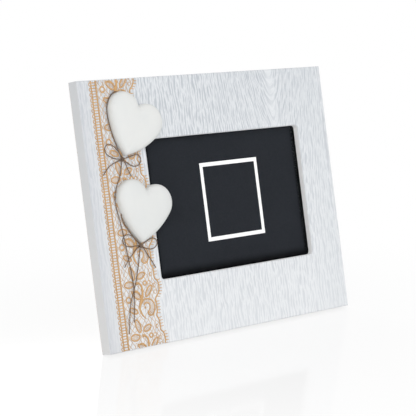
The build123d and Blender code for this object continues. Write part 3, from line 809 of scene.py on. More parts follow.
def edge_at(level):
    """How far right the edge lies at a level."""
    rim = shifted(EDGE, -1) + EDGE + shifted(EDGE, 1)
    for (x0, y0), (x1, y1) in zip(rim, rim[1:]):
        if y0 <= level <= y1:
            return x0 + (x1 - x0) * (level - y0) / (y1 - y0)
    return rim[0][0]


def inside_motif(x, y):
    """Whether a place is covered by a leaf, a ring or the flower, in this repeat or its neighbours."""
    for level in (y - REPEAT, y, y + REPEAT):
        for centre_x, centre_y, length, width, slant in LEAVES:
            turn = math.radians(slant)
            along = (x - centre_x) * math.cos(turn) + (level - centre_y) * math.sin(turn)
            across = (level - centre_y) * math.cos(turn) - (x - centre_x) * math.sin(turn)
            if (2 * along / length) ** 2 + (2 * across / width) ** 2 < LEAF_COVER:
                return True
        rounds = RINGS + SMALL_RINGS + [FLOWER_ROUND]
        if any(math.hypot(x - a, level - b) < radius - RING_OVERLAP for a, b, radius in rounds):
            return True
    return False


def net_rows():
    """Threads of the net that lie between the ladder and the edge, and outside the motifs."""
    for (row, column), start in net.items():
        for aside in (0, 1):
            end_row = (row + 1) % NET_ROWS
            end_column = column + aside - (row + 1) % 2
            if (end_row, end_column) not in net:
                continue
            end = net[end_row, end_column]
            if end_row == 0:
                end = (end[0], end[1] + REPEAT)
            middle = between(start, end, 0.5)
            inside_edge = all(x < edge_at(y) for x, y in (start, middle, end))
            if inside_edge and not inside_motif(*middle):
                yield [start, end]


for row in net_rows():
    thread(NET_WIDTH, row)
print("ground threads in a repeat:", len(threads[NET_WIDTH, False]))

# %% [markdown]
# Now the threads become one piece. The repeat could be copied by hand, but an Array modifier that is applied
# lays it up the board at once, with spare repeats beyond both ends. Then the long braids join it.

# %% Lace: repeats and long braids
SPARE_REPEATS = 3
motifs = [draw_threads(width, runs_on) for width, runs_on in threads if not runs_on]
lace = motifs[0]
choose(lace, *motifs[1:])
bpy.ops.object.join()
array = lace.modifiers.new("repeat", "ARRAY")
array.count = int(BOARD_HEIGHT / REPEAT) + SPARE_REPEATS
array.use_relative_offset = False
array.use_constant_offset = True
array.constant_offset_displace = (0, REPEAT * MM, 0)
bpy.ops.object.modifier_apply(modifier=array.name)
settle(lace, Matrix.Translation((0, -REPEAT * MM, 0)))
long_braids = [draw_threads(width, runs_on) for width, runs_on in threads if runs_on]
for rail, width in RAILS.items():
    rows = [[(x * MM, y * MM, 0) for x, y in row] for row in plait_rows(rail)]
    long_braids.append(press(round_tubes("rail", rows, width * MM), width, LACE_TOP))
choose(lace, *long_braids)
bpy.ops.object.join()
lace.name = "cotton_lace"
settle(lace, Matrix.Translation((LADDER_SIDE * MM, 0, 0)))
print("lace faces before the trim:", len(lace.data.polygons))

# %% [markdown]
# The bisect operator trims the band at the board's upper and lower edge and closes the cut threads. Then the
# band is stood up with the board and declared as a sheet, with its flat size.

# %% Lace: trimmed band
LACE_FLAT = (40.0, 177.5)
TRIM_MARGIN = 0.5
bpy.ops.object.mode_set(mode="EDIT")
for level, side in ((TRIM_MARGIN, -1), (BOARD_HEIGHT - TRIM_MARGIN, 1)):
    bpy.ops.mesh.select_all(action="SELECT")
    cut_place = (0, level * MM, 0)
    bpy.ops.mesh.bisect(plane_co=cut_place, plane_no=(0, side, 0), use_fill=True, clear_outer=True)
bpy.ops.object.mode_set(mode="OBJECT")
bpy.ops.object.shade_smooth()
settle(lace, BENCH)
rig.slot(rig.replaces(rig.ride(lace, "frame"), "lace_band"), "cotton_lace")
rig.sheet(
    lace,
    flat=(LACE_FLAT[0] * MM, LACE_FLAT[1] * MM),
    held="laid",
    rests_on=["front_frame"],
)
print("lace faces:", len(lace.data.polygons))

# %% [markdown]
# The hearts are smooth, pillow-shaped pieces that stand out from the board. Their outline could be drawn
# freehand, but arcs keep it fair: two sides that meet at the tip, two lobes and a small notch. Drawing such
# an outline in only changes the radii of its arcs, and the crown will need that.

# %% Hearts: outline
LOBE_RADIUS = 12.2
LOBE_OFFSET = 10.4
LOBE_HEIGHT = 28.5
SIDE_RADIUS = 55.0
NOTCH_RADIUS = 0.8
SIDE_STEPS = 26
LOBE_STEPS = 30
NOTCH_STEPS = 6


def arc(centre, radius, start, end, steps):
    """Points on an arc, without its last one."""
    angles = [start + (end - start) * step / steps for step in range(steps)]
    return [(centre[0] + radius * math.cos(angle), centre[1] + radius * math.sin(angle)) for angle in angles]


def heart_outline(inset):
    """Outline of a heart with its tip at the origin, drawn in evenly; it runs from the tip to the right."""
    reach = math.hypot(LOBE_OFFSET, LOBE_HEIGHT)
    along = (SIDE_RADIUS**2 - (SIDE_RADIUS - LOBE_RADIUS) ** 2 + reach**2) / (2 * reach)
    across = math.sqrt(SIDE_RADIUS**2 - along**2)
    side_x = (LOBE_OFFSET * along - LOBE_HEIGHT * across) / reach
    side_y = (LOBE_HEIGHT * along + LOBE_OFFSET * across) / reach
    notch_y = LOBE_HEIGHT + math.sqrt((LOBE_RADIUS + NOTCH_RADIUS) ** 2 - LOBE_OFFSET**2)
    side_radius = SIDE_RADIUS - inset
    tip_angle = math.atan2(-math.sqrt(side_radius**2 - side_x**2), -side_x)
    shoulder = math.atan2(LOBE_HEIGHT - side_y, LOBE_OFFSET - side_x)
    notch_angle = math.atan2(notch_y - LOBE_HEIGHT, -LOBE_OFFSET)
    notch_start = math.atan2(LOBE_HEIGHT - notch_y, LOBE_OFFSET)
    right = arc((side_x, side_y), side_radius, tip_angle, shoulder, SIDE_STEPS)
    right += arc((LOBE_OFFSET, LOBE_HEIGHT), LOBE_RADIUS - inset, shoulder, notch_angle, LOBE_STEPS)
    right += arc((0, notch_y), NOTCH_RADIUS + inset, notch_start, -math.pi / 2, NOTCH_STEPS)
    middle = (0, notch_y - NOTCH_RADIUS - inset)
    return right + [middle] + [(-x, y) for x, y in right[:0:-1]]


print("points on the outline of a heart:", len(heart_outline(0)))

# %% [markdown]
# A heart that is only bevelled would keep a flat top, so its crown is built ring by ring. The bottom outline
# is a circle primitive whose points are moved, and each extrude gets the outline of its own inset and
# height. Points carry a number, so that every extruded point knows its place on the next ring.

# %% Hearts: crown
HEART_WALL = 0.8
CROWN_HEIGHT = 5.8
CROWN_INSET = 11.9
CROWN_RINGS = 22
CROWN_FULLNESS = 0.7


def crown_rings():
    """Inset and height of each ring, from the top of the wall to the top of the crown."""
    yield 0.0, HEART_WALL
    for ring in range(1, CROWN_RINGS + 1):
        angle = math.pi / 2 * ring / CROWN_RINGS
        drawn_in = 1 - max(math.cos(angle), 0.0) ** CROWN_FULLNESS
        yield CROWN_INSET * drawn_in, HEART_WALL + CROWN_HEIGHT * math.sin(angle) ** CROWN_FULLNESS


def move_ring(mesh, outline, height):
    """Moves the selected points to their places on an outline."""
    points = bmesh.from_edit_mesh(mesh)
    number = points.verts.layers.int.get("ring_place")
    for point in points.verts:
        if point.select:
            x, y = outline[point[number]]
            point.co = Vector((x, y, height)) * MM
    bmesh.update_edit_mesh(mesh)


def make_heart(name):
    """Heart with its tip at the origin and its back on the bench."""
    count = len(heart_outline(0))
    bpy.ops.mesh.primitive_circle_add(vertices=count, radius=LOBE_RADIUS * MM, fill_type="NGON")
    heart = bpy.context.object
    heart.name = name
    bpy.ops.object.mode_set(mode="EDIT")
    bpy.ops.mesh.select_all(action="SELECT")
    points = bmesh.from_edit_mesh(heart.data)
    number = points.verts.layers.int.new("ring_place")
    points.verts.ensure_lookup_table()
    for index, point in enumerate(points.verts):
        point[number] = index
    bmesh.update_edit_mesh(heart.data)
    move_ring(heart.data, heart_outline(0), 0)
    for inset, height in crown_rings():
        bpy.ops.mesh.extrude_region_move()
        move_ring(heart.data, heart_outline(inset), height)
    bpy.ops.mesh.select_all(action="SELECT")
    bpy.ops.mesh.normals_make_consistent(inside=False)
    bpy.ops.object.mode_set(mode="OBJECT")
    return heart


print("height of a heart:", HEART_WALL + CROWN_HEIGHT, "mm")

# %% [markdown]
# The two hearts are alike and lie on the lace, one above the other, each turned to the right. They are listed
# by the place of the tip and the turn in degrees.

# %% Hearts: both on the bench
HEART_BASE = 0.4
HEARTS = {"upper_heart": (30.5, 126.6, 26.6), "lower_heart": (35.2, 68.6, 14.5)}
hearts = {}
for name, (u, v, tilt) in HEARTS.items():
    heart = make_heart(f"white_{name}")
    turn = Matrix.Rotation(math.radians(-tilt), 4, "Z")
    settle(heart, Matrix.Translation(Vector((u, v, HEART_BASE)) * MM) @ turn)
    hearts[name] = heart
print("heart faces:", [len(heart.data.polygons) for heart in hearts.values()])

# %% [markdown]
# The twine that hugs a heart is glued under it, in a groove in the heart's back. Such a channel is easiest
# to take out when the heart is whole: a Boolean modifier subtracts a straight bar along each run of the
# twine.

# %% Grooves for the twine
GROOVES = {"upper_heart": ("upper_rim_cord", 1), "lower_heart": ("lower_rim_cord", 2)}
GROOVE_WIDTH = 1.2
GROOVE_DEPTH = 1.45
HEART_CREASE = math.radians(50)


def cut_bar(piece, matrix):
    """Takes a bar out of a piece; the matrix stretches and places a cube of one millimetre for it."""
    bpy.ops.mesh.primitive_cube_add(size=MM)
    bar = settle(bpy.context.object, matrix)
    cut = piece.modifiers.new("cut", "BOOLEAN")
    cut.operation = "DIFFERENCE"
    cut.solver = "EXACT"
    cut.object = bar
    choose(piece)
    bpy.ops.object.modifier_apply(modifier=cut.name)
    bpy.data.objects.remove(bar)


def cut_groove(heart, start, end):
    """Takes a straight channel out of the back of a heart, in bench coordinates."""
    run = Vector(end[:2]) - Vector(start[:2])
    middle = (Vector(start[:2]) + Vector(end[:2])) / 2
    place = Matrix.Translation((middle.x * MM, middle.y * MM, 0))
    turn = Matrix.Rotation(math.atan2(run.y, run.x), 4, "Z")
    size = Matrix.Diagonal((run.length + GROOVE_WIDTH, GROOVE_WIDTH, 2 * GROOVE_DEPTH, 1))
    cut_bar(heart, place @ turn @ size)


for name, heart in hearts.items():
    cord, runs = GROOVES[name]
    for start, end in zip(ROUTES[cord][:runs], ROUTES[cord][1:]):
        cut_groove(heart, start, end)
    settle(heart, BENCH)
    bpy.ops.object.shade_smooth_by_angle(angle=HEART_CREASE)
    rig.slot(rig.replaces(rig.ride(heart, "frame"), name), "white_heart")
print("hearts with grooves:", list(hearts))

# %% [markdown]
# Screws, rivets and nails are turned parts: round heads with a softened rim on a thin shank. A head could be
# spun from its profile; a cylinder whose upper rim is bevelled gives the same shape with less work. The edges
# of that rim are chosen by their height.

# %% Fasteners: heads
HEAD_SIDES = 40
RIM_SHARE = 0.75
RIM_STEPS = 4


def make_head(name, radius, height):
    """Round head with a softened rim, its flat side on the bench."""
    middle = (0, 0, height / 2 * MM)
    bpy.ops.mesh.primitive_cylinder_add(
        vertices=HEAD_SIDES, radius=radius * MM, depth=height * MM, location=middle
    )
    fastener = bpy.context.object
    fastener.name = name
    bpy.ops.object.transform_apply(location=True)
    bpy.ops.object.mode_set(mode="EDIT")
    bpy.ops.mesh.select_all(action="DESELECT")
    shape = bmesh.from_edit_mesh(fastener.data)
    for edge in shape.edges:
        edge.select = all(point.co.z > middle[2] for point in edge.verts)
    shape.select_flush(True)
    bmesh.update_edit_mesh(fastener.data)
    bpy.ops.mesh.select_mode(type="EDGE")
    bpy.ops.mesh.bevel(offset=height * RIM_SHARE * MM, segments=RIM_STEPS, profile=0.5, affect="EDGES")
    bpy.ops.object.mode_set(mode="OBJECT")
    return fastener


print("sides of a head:", HEAD_SIDES)

# %% [markdown]
# The face under a head is the only one that looks down. It is inset to the width of the shank and extruded
# for it, and a Boolean cuts the screw's slot. Each kind of fastener is modelled once and copied to its
# places.

# %% Fasteners: shanks and slots
DOWNWARD = -0.9
METAL_CREASE = math.radians(40)


def make_fastener(name, head, shank, slot=None):
    """Fastener, head up; head and shank are a radius and a length, slot is a width and a depth."""
    head_radius, head_height = head
    shank_radius, shank_length = shank
    fastener = make_head(name, head_radius, head_height)
    bpy.ops.object.mode_set(mode="EDIT")
    bpy.ops.mesh.select_mode(type="FACE")
    bpy.ops.mesh.select_all(action="DESELECT")
    shape = bmesh.from_edit_mesh(fastener.data)
    for face in shape.faces:
        face.select = face.normal.z < DOWNWARD
    bmesh.update_edit_mesh(fastener.data)
    bpy.ops.mesh.inset(thickness=(head_radius - shank_radius) * MM)
    bpy.ops.mesh.extrude_region_move(TRANSFORM_OT_translate={"value": (0, 0, -shank_length * MM)})
    bpy.ops.object.mode_set(mode="OBJECT")
    if slot:
        size = Matrix.Diagonal((3 * head_radius, slot[0], 2 * slot[1], 1))
        cut_bar(fastener, Matrix.Translation((0, 0, head_height * MM)) @ size)
    choose(fastener)
    bpy.ops.object.shade_smooth_by_angle(angle=METAL_CREASE)
    return fastener


screw = make_fastener("screw", head=(3.0, 1.7), shank=(1.4, 7.3), slot=(0.8, 0.7))
nail = make_fastener("nail", head=(1.8, 0.6), shank=(0.8, 6.7))
panel_rivet = make_fastener("panel_rivet", head=(2.8, 0.9), shank=(1.5, 3.5))
strut_rivet = make_fastener("strut_rivet", head=(2.8, 0.9), shank=(1.5, 3.25))
print("screw faces:", len(screw.data.polygons), "nail faces:", len(nail.data.polygons))

# %% [markdown]
# Their heads are on the back of the frame, so each copy is turned over and set at its place. The strut's
# rivets swing with the strut, so they go through the swing about the hinge line first. No two screws stop
# at the same angle, so their slots point different ways. The list gives, for each node, the kind, the body,
# the height of the seat, and a place and a turn for every copy.

# %% Fasteners: copies in place
HINGE = Vector((122.75, 126.0, -11.6))
STRUT_ANGLE = 20.0
FLIP = Matrix.Rotation(math.pi, 4, "X")
FASTENERS = {
    "turn_button_screws": (
        screw, "frame", -10.9,
        [(40.75, 63.0, 20), (40.75, 115.0, 75), (204.75, 63.0, 140), (204.75, 115.0, -35)],
    ),
    "hanger_nails": (nail, "frame", -10.3, [(94.0, 161.5, 0), (131.0, 161.5, 0)]),
    "hinge_panel_rivets": (panel_rivet, "frame", -10.3, [(114.75, 135.0, 0), (130.75, 135.0, 0)]),
    "hinge_strut_rivets": (strut_rivet, "strut", -13.4, [(114.75, 117.0, 0), (130.75, 117.0, 0)]),
}
hinge_place = Matrix.Translation(HINGE * MM)
opened = hinge_place @ Matrix.Rotation(math.radians(STRUT_ANGLE), 4, "X") @ hinge_place.inverted()
swings = {"frame": Matrix.Identity(4), "strut": opened}


def set_fasteners(node, kind, body, seat, places):
    """Copies of one fastener at their places, joined into the piece that stands for a node."""
    copies = []
    for u, v, turn in places:
        copy = kind.copy()
        copy.data = kind.data.copy()
        bpy.context.collection.objects.link(copy)
        spot = Matrix.Translation(Vector((u, v, seat)) * MM)
        settle(copy, BENCH @ swings[body] @ spot @ FLIP @ Matrix.Rotation(math.radians(turn), 4, "Z"))
        copies.append(copy)
    choose(*copies)
    bpy.ops.object.join()
    piece = bpy.context.object
    piece.name = f"round_{node}"
    bpy.data.objects.remove(kind)
    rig.slot(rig.replaces(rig.ride(piece, body), node), "zinc_steel")
    return piece


metal_pieces = [set_fasteners(node, *row) for node, row in FASTENERS.items()]
print("fastener pieces:", [piece.name for piece in metal_pieces])

# %% [markdown]
# Stamped metal and sawn board never have perfectly sharp edges; a narrow rounding catches the light. The
# solids keep their shape, so a copy of each is merged into one skin, flat faces are dissolved into single
# ones, and a Bevel modifier rounds the edges.

# %% Softened plates and strut
SOFTENED = {
    "turn_button_lower_left": 0.18, "turn_button_upper_left": 0.18, "turn_button_lower_right": 0.18,
    "turn_button_upper_right": 0.18, "sawtooth_hanger": 0.12, "hinge_panel_leaf": 0.12,
    "hinge_strut_leaf": 0.12, "hinge_pin": 0.2, "easel_strut": 0.35,
}
MERGE_REACH = 0.004
FLAT_ANGLE = math.radians(1)
EDGE_ANGLE = math.radians(40)
EDGE_STEPS = 2
PLATE_CREASE = math.radians(35)


def soften(node, width):
    """Copy of a solid with rounded edges, which stands for it."""
    solid = nodes[node]
    piece = bpy.data.objects.new(f"soft_{node}", solid.data.copy())
    bpy.context.collection.objects.link(piece)
    choose(piece)
    bpy.ops.object.mode_set(mode="EDIT")
    bpy.ops.mesh.select_all(action="SELECT")
    bpy.ops.mesh.remove_doubles(threshold=MERGE_REACH * MM)
    bpy.ops.mesh.dissolve_limited(angle_limit=FLAT_ANGLE)
    bpy.ops.object.mode_set(mode="OBJECT")
    bevel = piece.modifiers.new("rounding", "BEVEL")
    bevel.width = width * MM
    bevel.segments = EDGE_STEPS
    bevel.limit_method = "ANGLE"
    bevel.angle_limit = EDGE_ANGLE
    bpy.ops.object.modifier_apply(modifier=bevel.name)
    bpy.ops.object.shade_smooth_by_angle(angle=PLATE_CREASE)
    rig.ride(piece, solid["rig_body"])
    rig.replaces(piece, node)
    return piece


softened = {node: soften(node, width) for node, width in SOFTENED.items()}
for node, piece in softened.items():
    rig.slot(piece, "back_board" if node == "easel_strut" else "zinc_steel")
    print(piece.name, len(piece.data.polygons), "faces")
metal_pieces += [piece for node, piece in softened.items() if node != "easel_strut"]

# %% [markdown]
# Every finish is a set of nodes round one Principled shader. They could be drawn by hand in the shader
# editor; in code, a few helpers keep each finish short. One adds a node, and its sockets take values or
# links alike. Colours are written as they look on a screen, from 0 to 255, and turned into the linear
# values that the shader works with.

# %% Helpers for finishes


def tint(red, green, blue):
    """Linear colour of a screen colour."""
    return (*Color((red / 255, green / 255, blue / 255)).from_srgb_to_scene_linear(), 1)


def fill(node, sockets):
    """Sets sockets of a node to values, or links outputs to them."""
    for key, value in sockets.items():
        if isinstance(value, bpy.types.NodeSocket):
            node.id_data.links.new(value, node.inputs[key])
        else:
            node.inputs[key].default_value = value


def add(tree, kind, sockets=None, **settings):
    """Adds a node with its settings and sockets."""
    node = tree.nodes.new(kind)
    for name, value in settings.items():
        setattr(node, name, value)
    fill(node, sockets or {})
    return node


def start_finish(name):
    """New material, its tree, its shader and the object's own coordinates."""
    material = bpy.data.materials.new(name)
    material.use_nodes = True
    tree = material.node_tree
    place = add(tree, "ShaderNodeTexCoord").outputs["Object"]
    return material, tree, tree.nodes["Principled BSDF"], place


def dress(material, *pieces):
    """Gives pieces a material in place of what they had."""
    for piece in pieces:
        piece.data.materials.clear()
        piece.data.materials.append(material)


print("a middle grey of 128 in linear light:", round(tint(128, 128, 128)[0], 3))

# %% [markdown]
# Most of a finish is small sums: a mask is multiplied, two colours are mixed, a length is turned into a
# share. A Math, Mix or Map Range node does each, so every one of them gets a helper that returns its
# output.

# %% Sums and mixes


def sums(tree, operation, *values):
    """Output of a Math node on values or outputs."""
    return add(tree, "ShaderNodeMath", dict(enumerate(values)), operation=operation).outputs[0]


def chain(tree, operation, first, *others):
    """The same sum along a row of values."""
    for other in others:
        first = sums(tree, operation, first, other)
    return first


def span(tree, share, low, high):
    """Value between low and high, by a share from 0 to 1."""
    return sums(tree, "MULTIPLY_ADD", share, high - low, low)


def ramp(tree, value, start, end, low=0.0, high=1.0, kind="LINEAR"):
    """Value that runs from low to high while another goes from start to end."""
    sockets = dict(enumerate((value, start, end, low, high)))
    return add(tree, "ShaderNodeMapRange", sockets, interpolation_type=kind).outputs[0]


def blend_colours(tree, share, first, second):
    """Colour between two, by a share from 0 to 1."""
    return add(tree, "ShaderNodeMix", {0: share, 6: first, 7: second}, data_type="RGBA").outputs[2]


def mix_shaders(tree, share, first, second):
    """Shader between two, by a share from 0 to 1."""
    return add(tree, "ShaderNodeMixShader", {0: share, 1: first, 2: second}).outputs[0]


def noise(tree, place, scale, detail):
    """Cloudy noise from 0 to 1."""
    return add(tree, "ShaderNodeTexNoise", {"Vector": place, "Scale": scale, "Detail": detail}).outputs[0]


def bump(tree, height, strength, depth):
    """Normal from a height, with the depth in millimetres."""
    sockets = {"Height": height, "Strength": strength, "Distance": depth * MM}
    return add(tree, "ShaderNodeBump", sockets).outputs[0]


helpers = (sums, chain, span, ramp, blend_colours, mix_shaders, noise, bump)
print("helpers:", [helper.__name__ for helper in helpers])

# %% [markdown]
# Effects that several finishes use are node groups, made once and placed with other values each time. The
# first turns a place in the room back into bench millimetres, so that grain, wash and print are measured on
# the leaning board as if it lay flat.

# %% Shared effects: bench places


def start_group(name, inputs, output, kind):
    """New node group with named inputs, given as name and kind, and one output."""
    group = bpy.data.node_groups.new(name, "ShaderNodeTree")
    for socket, socket_kind in inputs.items():
        group.interface.new_socket(name=socket, in_out="INPUT", socket_type=f"NodeSocket{socket_kind}")
    group.interface.new_socket(name=output, in_out="OUTPUT", socket_type=f"NodeSocket{kind}")
    return group, group.nodes.new("NodeGroupInput").outputs, group.nodes.new("NodeGroupOutput")


def use(tree, group, sockets):
    """Output of a group that is placed in a material."""
    return add(tree, "ShaderNodeGroup", sockets, node_tree=group).outputs[0]


bench_group, source, sink = start_group("bench_place", {"Place": "Vector"}, "Bench", "Vector")
back_to_bench = BENCH.inverted()
laying = {"Location": back_to_bench.translation, "Rotation": back_to_bench.to_euler()}
laying["Vector"] = source["Place"]
laid = add(bench_group, "ShaderNodeMapping", laying, vector_type="POINT").outputs[0]
scaled = add(bench_group, "ShaderNodeVectorMath", {0: laid, "Scale": 1 / MM}, operation="SCALE")
fill(sink, {"Bench": scaled.outputs[0]})


def bench_axes(tree, place):
    """Bench place in millimetres, and its u, v and w."""
    bench = use(tree, bench_group, {"Place": place})
    return bench, *add(tree, "ShaderNodeSeparateXYZ", {0: bench}).outputs


def square_distance(tree, u, v, middle):
    """How far a place is from a middle, as the half side of a square round it."""
    aside = sums(tree, "ABSOLUTE", sums(tree, "SUBTRACT", u, middle[0]))
    above = sums(tree, "ABSOLUTE", sums(tree, "SUBTRACT", v, middle[1]))
    return sums(tree, "MAXIMUM", aside, above)


print("shared effect:", bench_group.name)

# %% [markdown]
# The second is plain mottling, from cloudy to speckled. No real surface is one even colour, and noise breaks
# it up without seams. It is cut off at two levels: close together they give spots, far apart they give
# clouds.

# %% Shared effects: mottling
MOTTLE_DETAIL = 4.0
mottle_inputs = {"Place": "Vector", "Scale": "Float", "From": "Float", "To": "Float"}
mottle_group, source, sink = start_group("mottle", mottle_inputs, "Mottle", "Float")
cloud = noise(mottle_group, source["Place"], source["Scale"], MOTTLE_DETAIL)
fill(sink, {"Mottle": ramp(mottle_group, cloud, source["From"], source["To"])})


def mottle(tree, place, scale, low=0.3, high=0.7):
    """Mottling of a chosen fineness, cut off at two levels."""
    return use(tree, mottle_group, {"Place": place, "Scale": scale, "From": low, "To": high})


print("shared effects:", [group.name for group in bpy.data.node_groups])

# %% [markdown]
# Open grain is rows of long dark pores, at a fairly even spacing but never in step. Noise alone would
# scatter them, and a wave alone would look printed. So a sine wave across the grain, put out of step by
# slow noise, is added to noise that is drawn out along the grain into dashes, and the sum is cut off at two
# levels.

# %% Shared effects: streaks of grain
WOBBLE_SCALE = 0.6
WOBBLE_REACH = 1.6
DASH_SCALE = 1.7
WAVE_SHARE = 0.25
streak_sockets = ("Across", "Along", "Layer", "Width", "Length", "From", "To")
streak_inputs = {name: "Float" for name in streak_sockets}
streak_group, source, sink = start_group("grain_streaks", streak_inputs, "Streak", "Float")
across = sums(streak_group, "DIVIDE", source["Across"], source["Width"])
along = sums(streak_group, "DIVIDE", source["Along"], source["Length"])
drawn_out = add(streak_group, "ShaderNodeCombineXYZ", {0: across, 1: along, 2: source["Layer"]}).outputs[0]
wobble = noise(streak_group, drawn_out, WOBBLE_SCALE, detail=0.0)
out_of_step = sums(streak_group, "MULTIPLY_ADD", wobble, WOBBLE_REACH, across)
wave = sums(streak_group, "SINE", sums(streak_group, "MULTIPLY", out_of_step, math.tau))
dashes = noise(streak_group, drawn_out, DASH_SCALE, detail=0.0)
mixed = sums(streak_group, "MULTIPLY_ADD", wave, WAVE_SHARE, dashes)
fill(sink, {"Streak": ramp(streak_group, mixed, source["From"], source["To"], kind="SMOOTHSTEP")})
print("inputs of the streaks:", streak_sockets)

# %% [markdown]
# The board is a pale, cool whitewash over open grain that runs straight up. Near the upper right corner the
# grain closes to a pointed figure. For that, the line across the board is bent: it is measured from the
# figure's middle and falls with the height above the figure's foot, so the streaks lean to each other
# there. Three kinds of streak follow that line: short pores, long pores and fine fibres. They are listed by
# width, length, the two levels of their cut, the layer of noise that they are taken from, and their
# darkness.

# %% Wood: grain
FIGURE_PLACE = 172.0
FIGURE_FOOT = 95.0
FOOT_BLEND = 20.0
FIGURE_SPREAD = 34.0
FIGURE_LEAN = 0.42
FIGURE_ROUND = 0.07
WANDER = 3.0
WANDER_SCALE = 0.05
LAYER_STEP = 10.0
PORES = [
    (1.9, 6.0, 0.53, 0.74, 0.0, 0.6),
    (2.7, 12.0, 0.53, 0.74, 40.0, 0.95),
    (0.6, 3.5, 0.5, 0.75, 0.0, 0.4),
]
material, tree, shader, place = start_finish("whitewashed_wood")
bench, board_u, board_v, board_w = bench_axes(tree, place)
aside = sums(tree, "SUBTRACT", board_u, FIGURE_PLACE)
square = sums(tree, "MULTIPLY", aside, aside)
bell = sums(tree, "EXPONENT", sums(tree, "DIVIDE", square, -FIGURE_SPREAD**2))
above = sums(tree, "SMOOTH_MAX", sums(tree, "SUBTRACT", board_v, FIGURE_FOOT), 0.0, FOOT_BLEND)
fall = chain(tree, "MULTIPLY", above, bell, FIGURE_LEAN)
rounding = sums(tree, "MULTIPLY", above, FIGURE_ROUND)
rounded = sums(tree, "SQRT", sums(tree, "MULTIPLY_ADD", rounding, rounding, square))
drift = noise(tree, bench, WANDER_SCALE, detail=2.0)
grain_line = sums(tree, "MULTIPLY_ADD", drift, WANDER, sums(tree, "SUBTRACT", rounded, fall))
first_layer = sums(tree, "DIVIDE", aside, LAYER_STEP)
streaks = []
for width, length, start, full, layer, darkness in PORES:
    sockets = {"Across": grain_line, "Along": board_v, "Layer": sums(tree, "ADD", first_layer, layer)}
    sockets |= {"Width": width, "Length": length, "From": start, "To": full}
    streaks.append(sums(tree, "MULTIPLY", use(tree, streak_group, sockets), darkness))
pores = chain(tree, "MAXIMUM", *streaks)
print("kinds of streak in the grain:", len(streaks))

# %% [markdown]
# The wash is not one white. It is greyer up the board and towards the left edge, both painted shade, and
# greyer towards the right edge. The sides and the walls of the window are painted closed, which the direction
# of a face tells, and only the walls lie within the reach of the window. The sides get a greyer tint, which is
# painted shade, and the walls a near white, which is painted light.

# %% Wood: wash, with painted shade and light
SHADED_LEFT_EDGE = 18.0
DULL_EDGE = (190.0, 215.0)
DULL_SHARE = 0.35
SIDEWAYS = 0.5
WINDOW_MIDDLE = (122.75, 89.0)
WINDOW_REACH = 76.0
# Painted shade: the wash is greyer up the board, where less light falls.
height = sums(tree, "DIVIDE", board_v, BOARD_HEIGHT)
wash_and_painted_light = blend_colours(tree, height, tint(233, 235, 237), tint(222, 225, 228))
# Painted shade: the wash is greyer over the left edge of the board.
wash_and_painted_light = blend_colours(tree, ramp(tree, board_u, 0.0, SHADED_LEFT_EDGE), tint(209, 211, 215), wash_and_painted_light)
wash_and_painted_light = blend_colours(tree, ramp(tree, board_u, *DULL_EDGE, 0.0, DULL_SHARE), wash_and_painted_light, tint(216, 220, 223))
normal = add(tree, "ShaderNodeNewGeometry").outputs["Normal"]
facing = add(tree, "ShaderNodeVectorMath", {0: normal, 1: OUT}, operation="DOT_PRODUCT").outputs["Value"]
openness = sums(tree, "ABSOLUTE", facing)
closed = sums(tree, "LESS_THAN", openness, SIDEWAYS)
# Painted shade: the sides are a greyer tint than the face, and darker up the board.
sides = blend_colours(tree, height, tint(222, 222, 222), tint(208, 210, 212))
wash_and_painted_light = blend_colours(tree, closed, wash_and_painted_light, sides)
# Painted light: the walls of the window are near white, brighter than the light on them makes them.
from_window = square_distance(tree, board_u, board_v, WINDOW_MIDDLE)
painted_light_wall = sums(tree, "MULTIPLY", closed, sums(tree, "LESS_THAN", from_window, WINDOW_REACH))
wash_and_painted_light = blend_colours(tree, painted_light_wall, wash_and_painted_light, tint(253, 253, 253))
print("wash greyer over the left", SHADED_LEFT_EDGE, "mm")

# %% [markdown]
# Pores are a little darker than the paint and lie lower, so one mask gives their colour and their relief.
# They show more up the board, less at its left and right edge, and hardly at all along the middle of the
# figure. The back is bare pressed board, without paint.

# %% Wood: pores and finish
BOARD_THICKNESS = 9.5
BARE_BACK = 0.9
PORES_AT_FOOT = 0.4
PORES_AT_TOP = 1.06
CALM_LEFT = (8.0, 20.0)
CALM_LEFT_SHARE = 0.65
CALM_RIGHT = (190.0, 205.0)
CALM_RIGHT_SHARE = 0.85
FIGURE_PITH = 4.5
PITH_RISE = 100.0
depth = span(tree, height, PORES_AT_FOOT, PORES_AT_TOP)
left = ramp(tree, board_u, *CALM_LEFT, CALM_LEFT_SHARE, 1.0)
right = ramp(tree, board_u, *CALM_RIGHT, 1.0, CALM_RIGHT_SHARE)
pith = sums(tree, "EXPONENT", sums(tree, "DIVIDE", square, -FIGURE_PITH**2))
pith = sums(tree, "MULTIPLY", pith, sums(tree, "DIVIDE", above, PITH_RISE))
beside_pith = sums(tree, "SUBTRACT", 1.0, pith)
pore_share = chain(tree, "MULTIPLY", pores, openness, depth, left, right, beside_pith)
streaked = blend_colours(tree, pore_share, wash_and_painted_light, tint(188, 193, 199))
pressed = blend_colours(tree, mottle(tree, bench, scale=1.6), tint(171, 143, 108), tint(190, 163, 128))
bare = sums(tree, "LESS_THAN", board_w, BARE_BACK - BOARD_THICKNESS)
fill(shader, {
    "Base Color": blend_colours(tree, bare, streaked, pressed),
    "Roughness": span(tree, pores, 0.55, 0.73),
    "Normal": bump(tree, sums(tree, "SUBTRACT", 1.0, pore_share), strength=0.4, depth=0.1),
    "Specular IOR Level": 0.3,
})
dress(material, nodes["front_frame"])
print("board dressed in", material.name)

# %% [markdown]
# The glass is a picture glass that hardly mirrors: clear, with a low index and a trace of unevenness in its
# gloss. Light on its way to the card passes straight through, which is near enough for a flat pane and
# keeps the card free of speckles in the render.

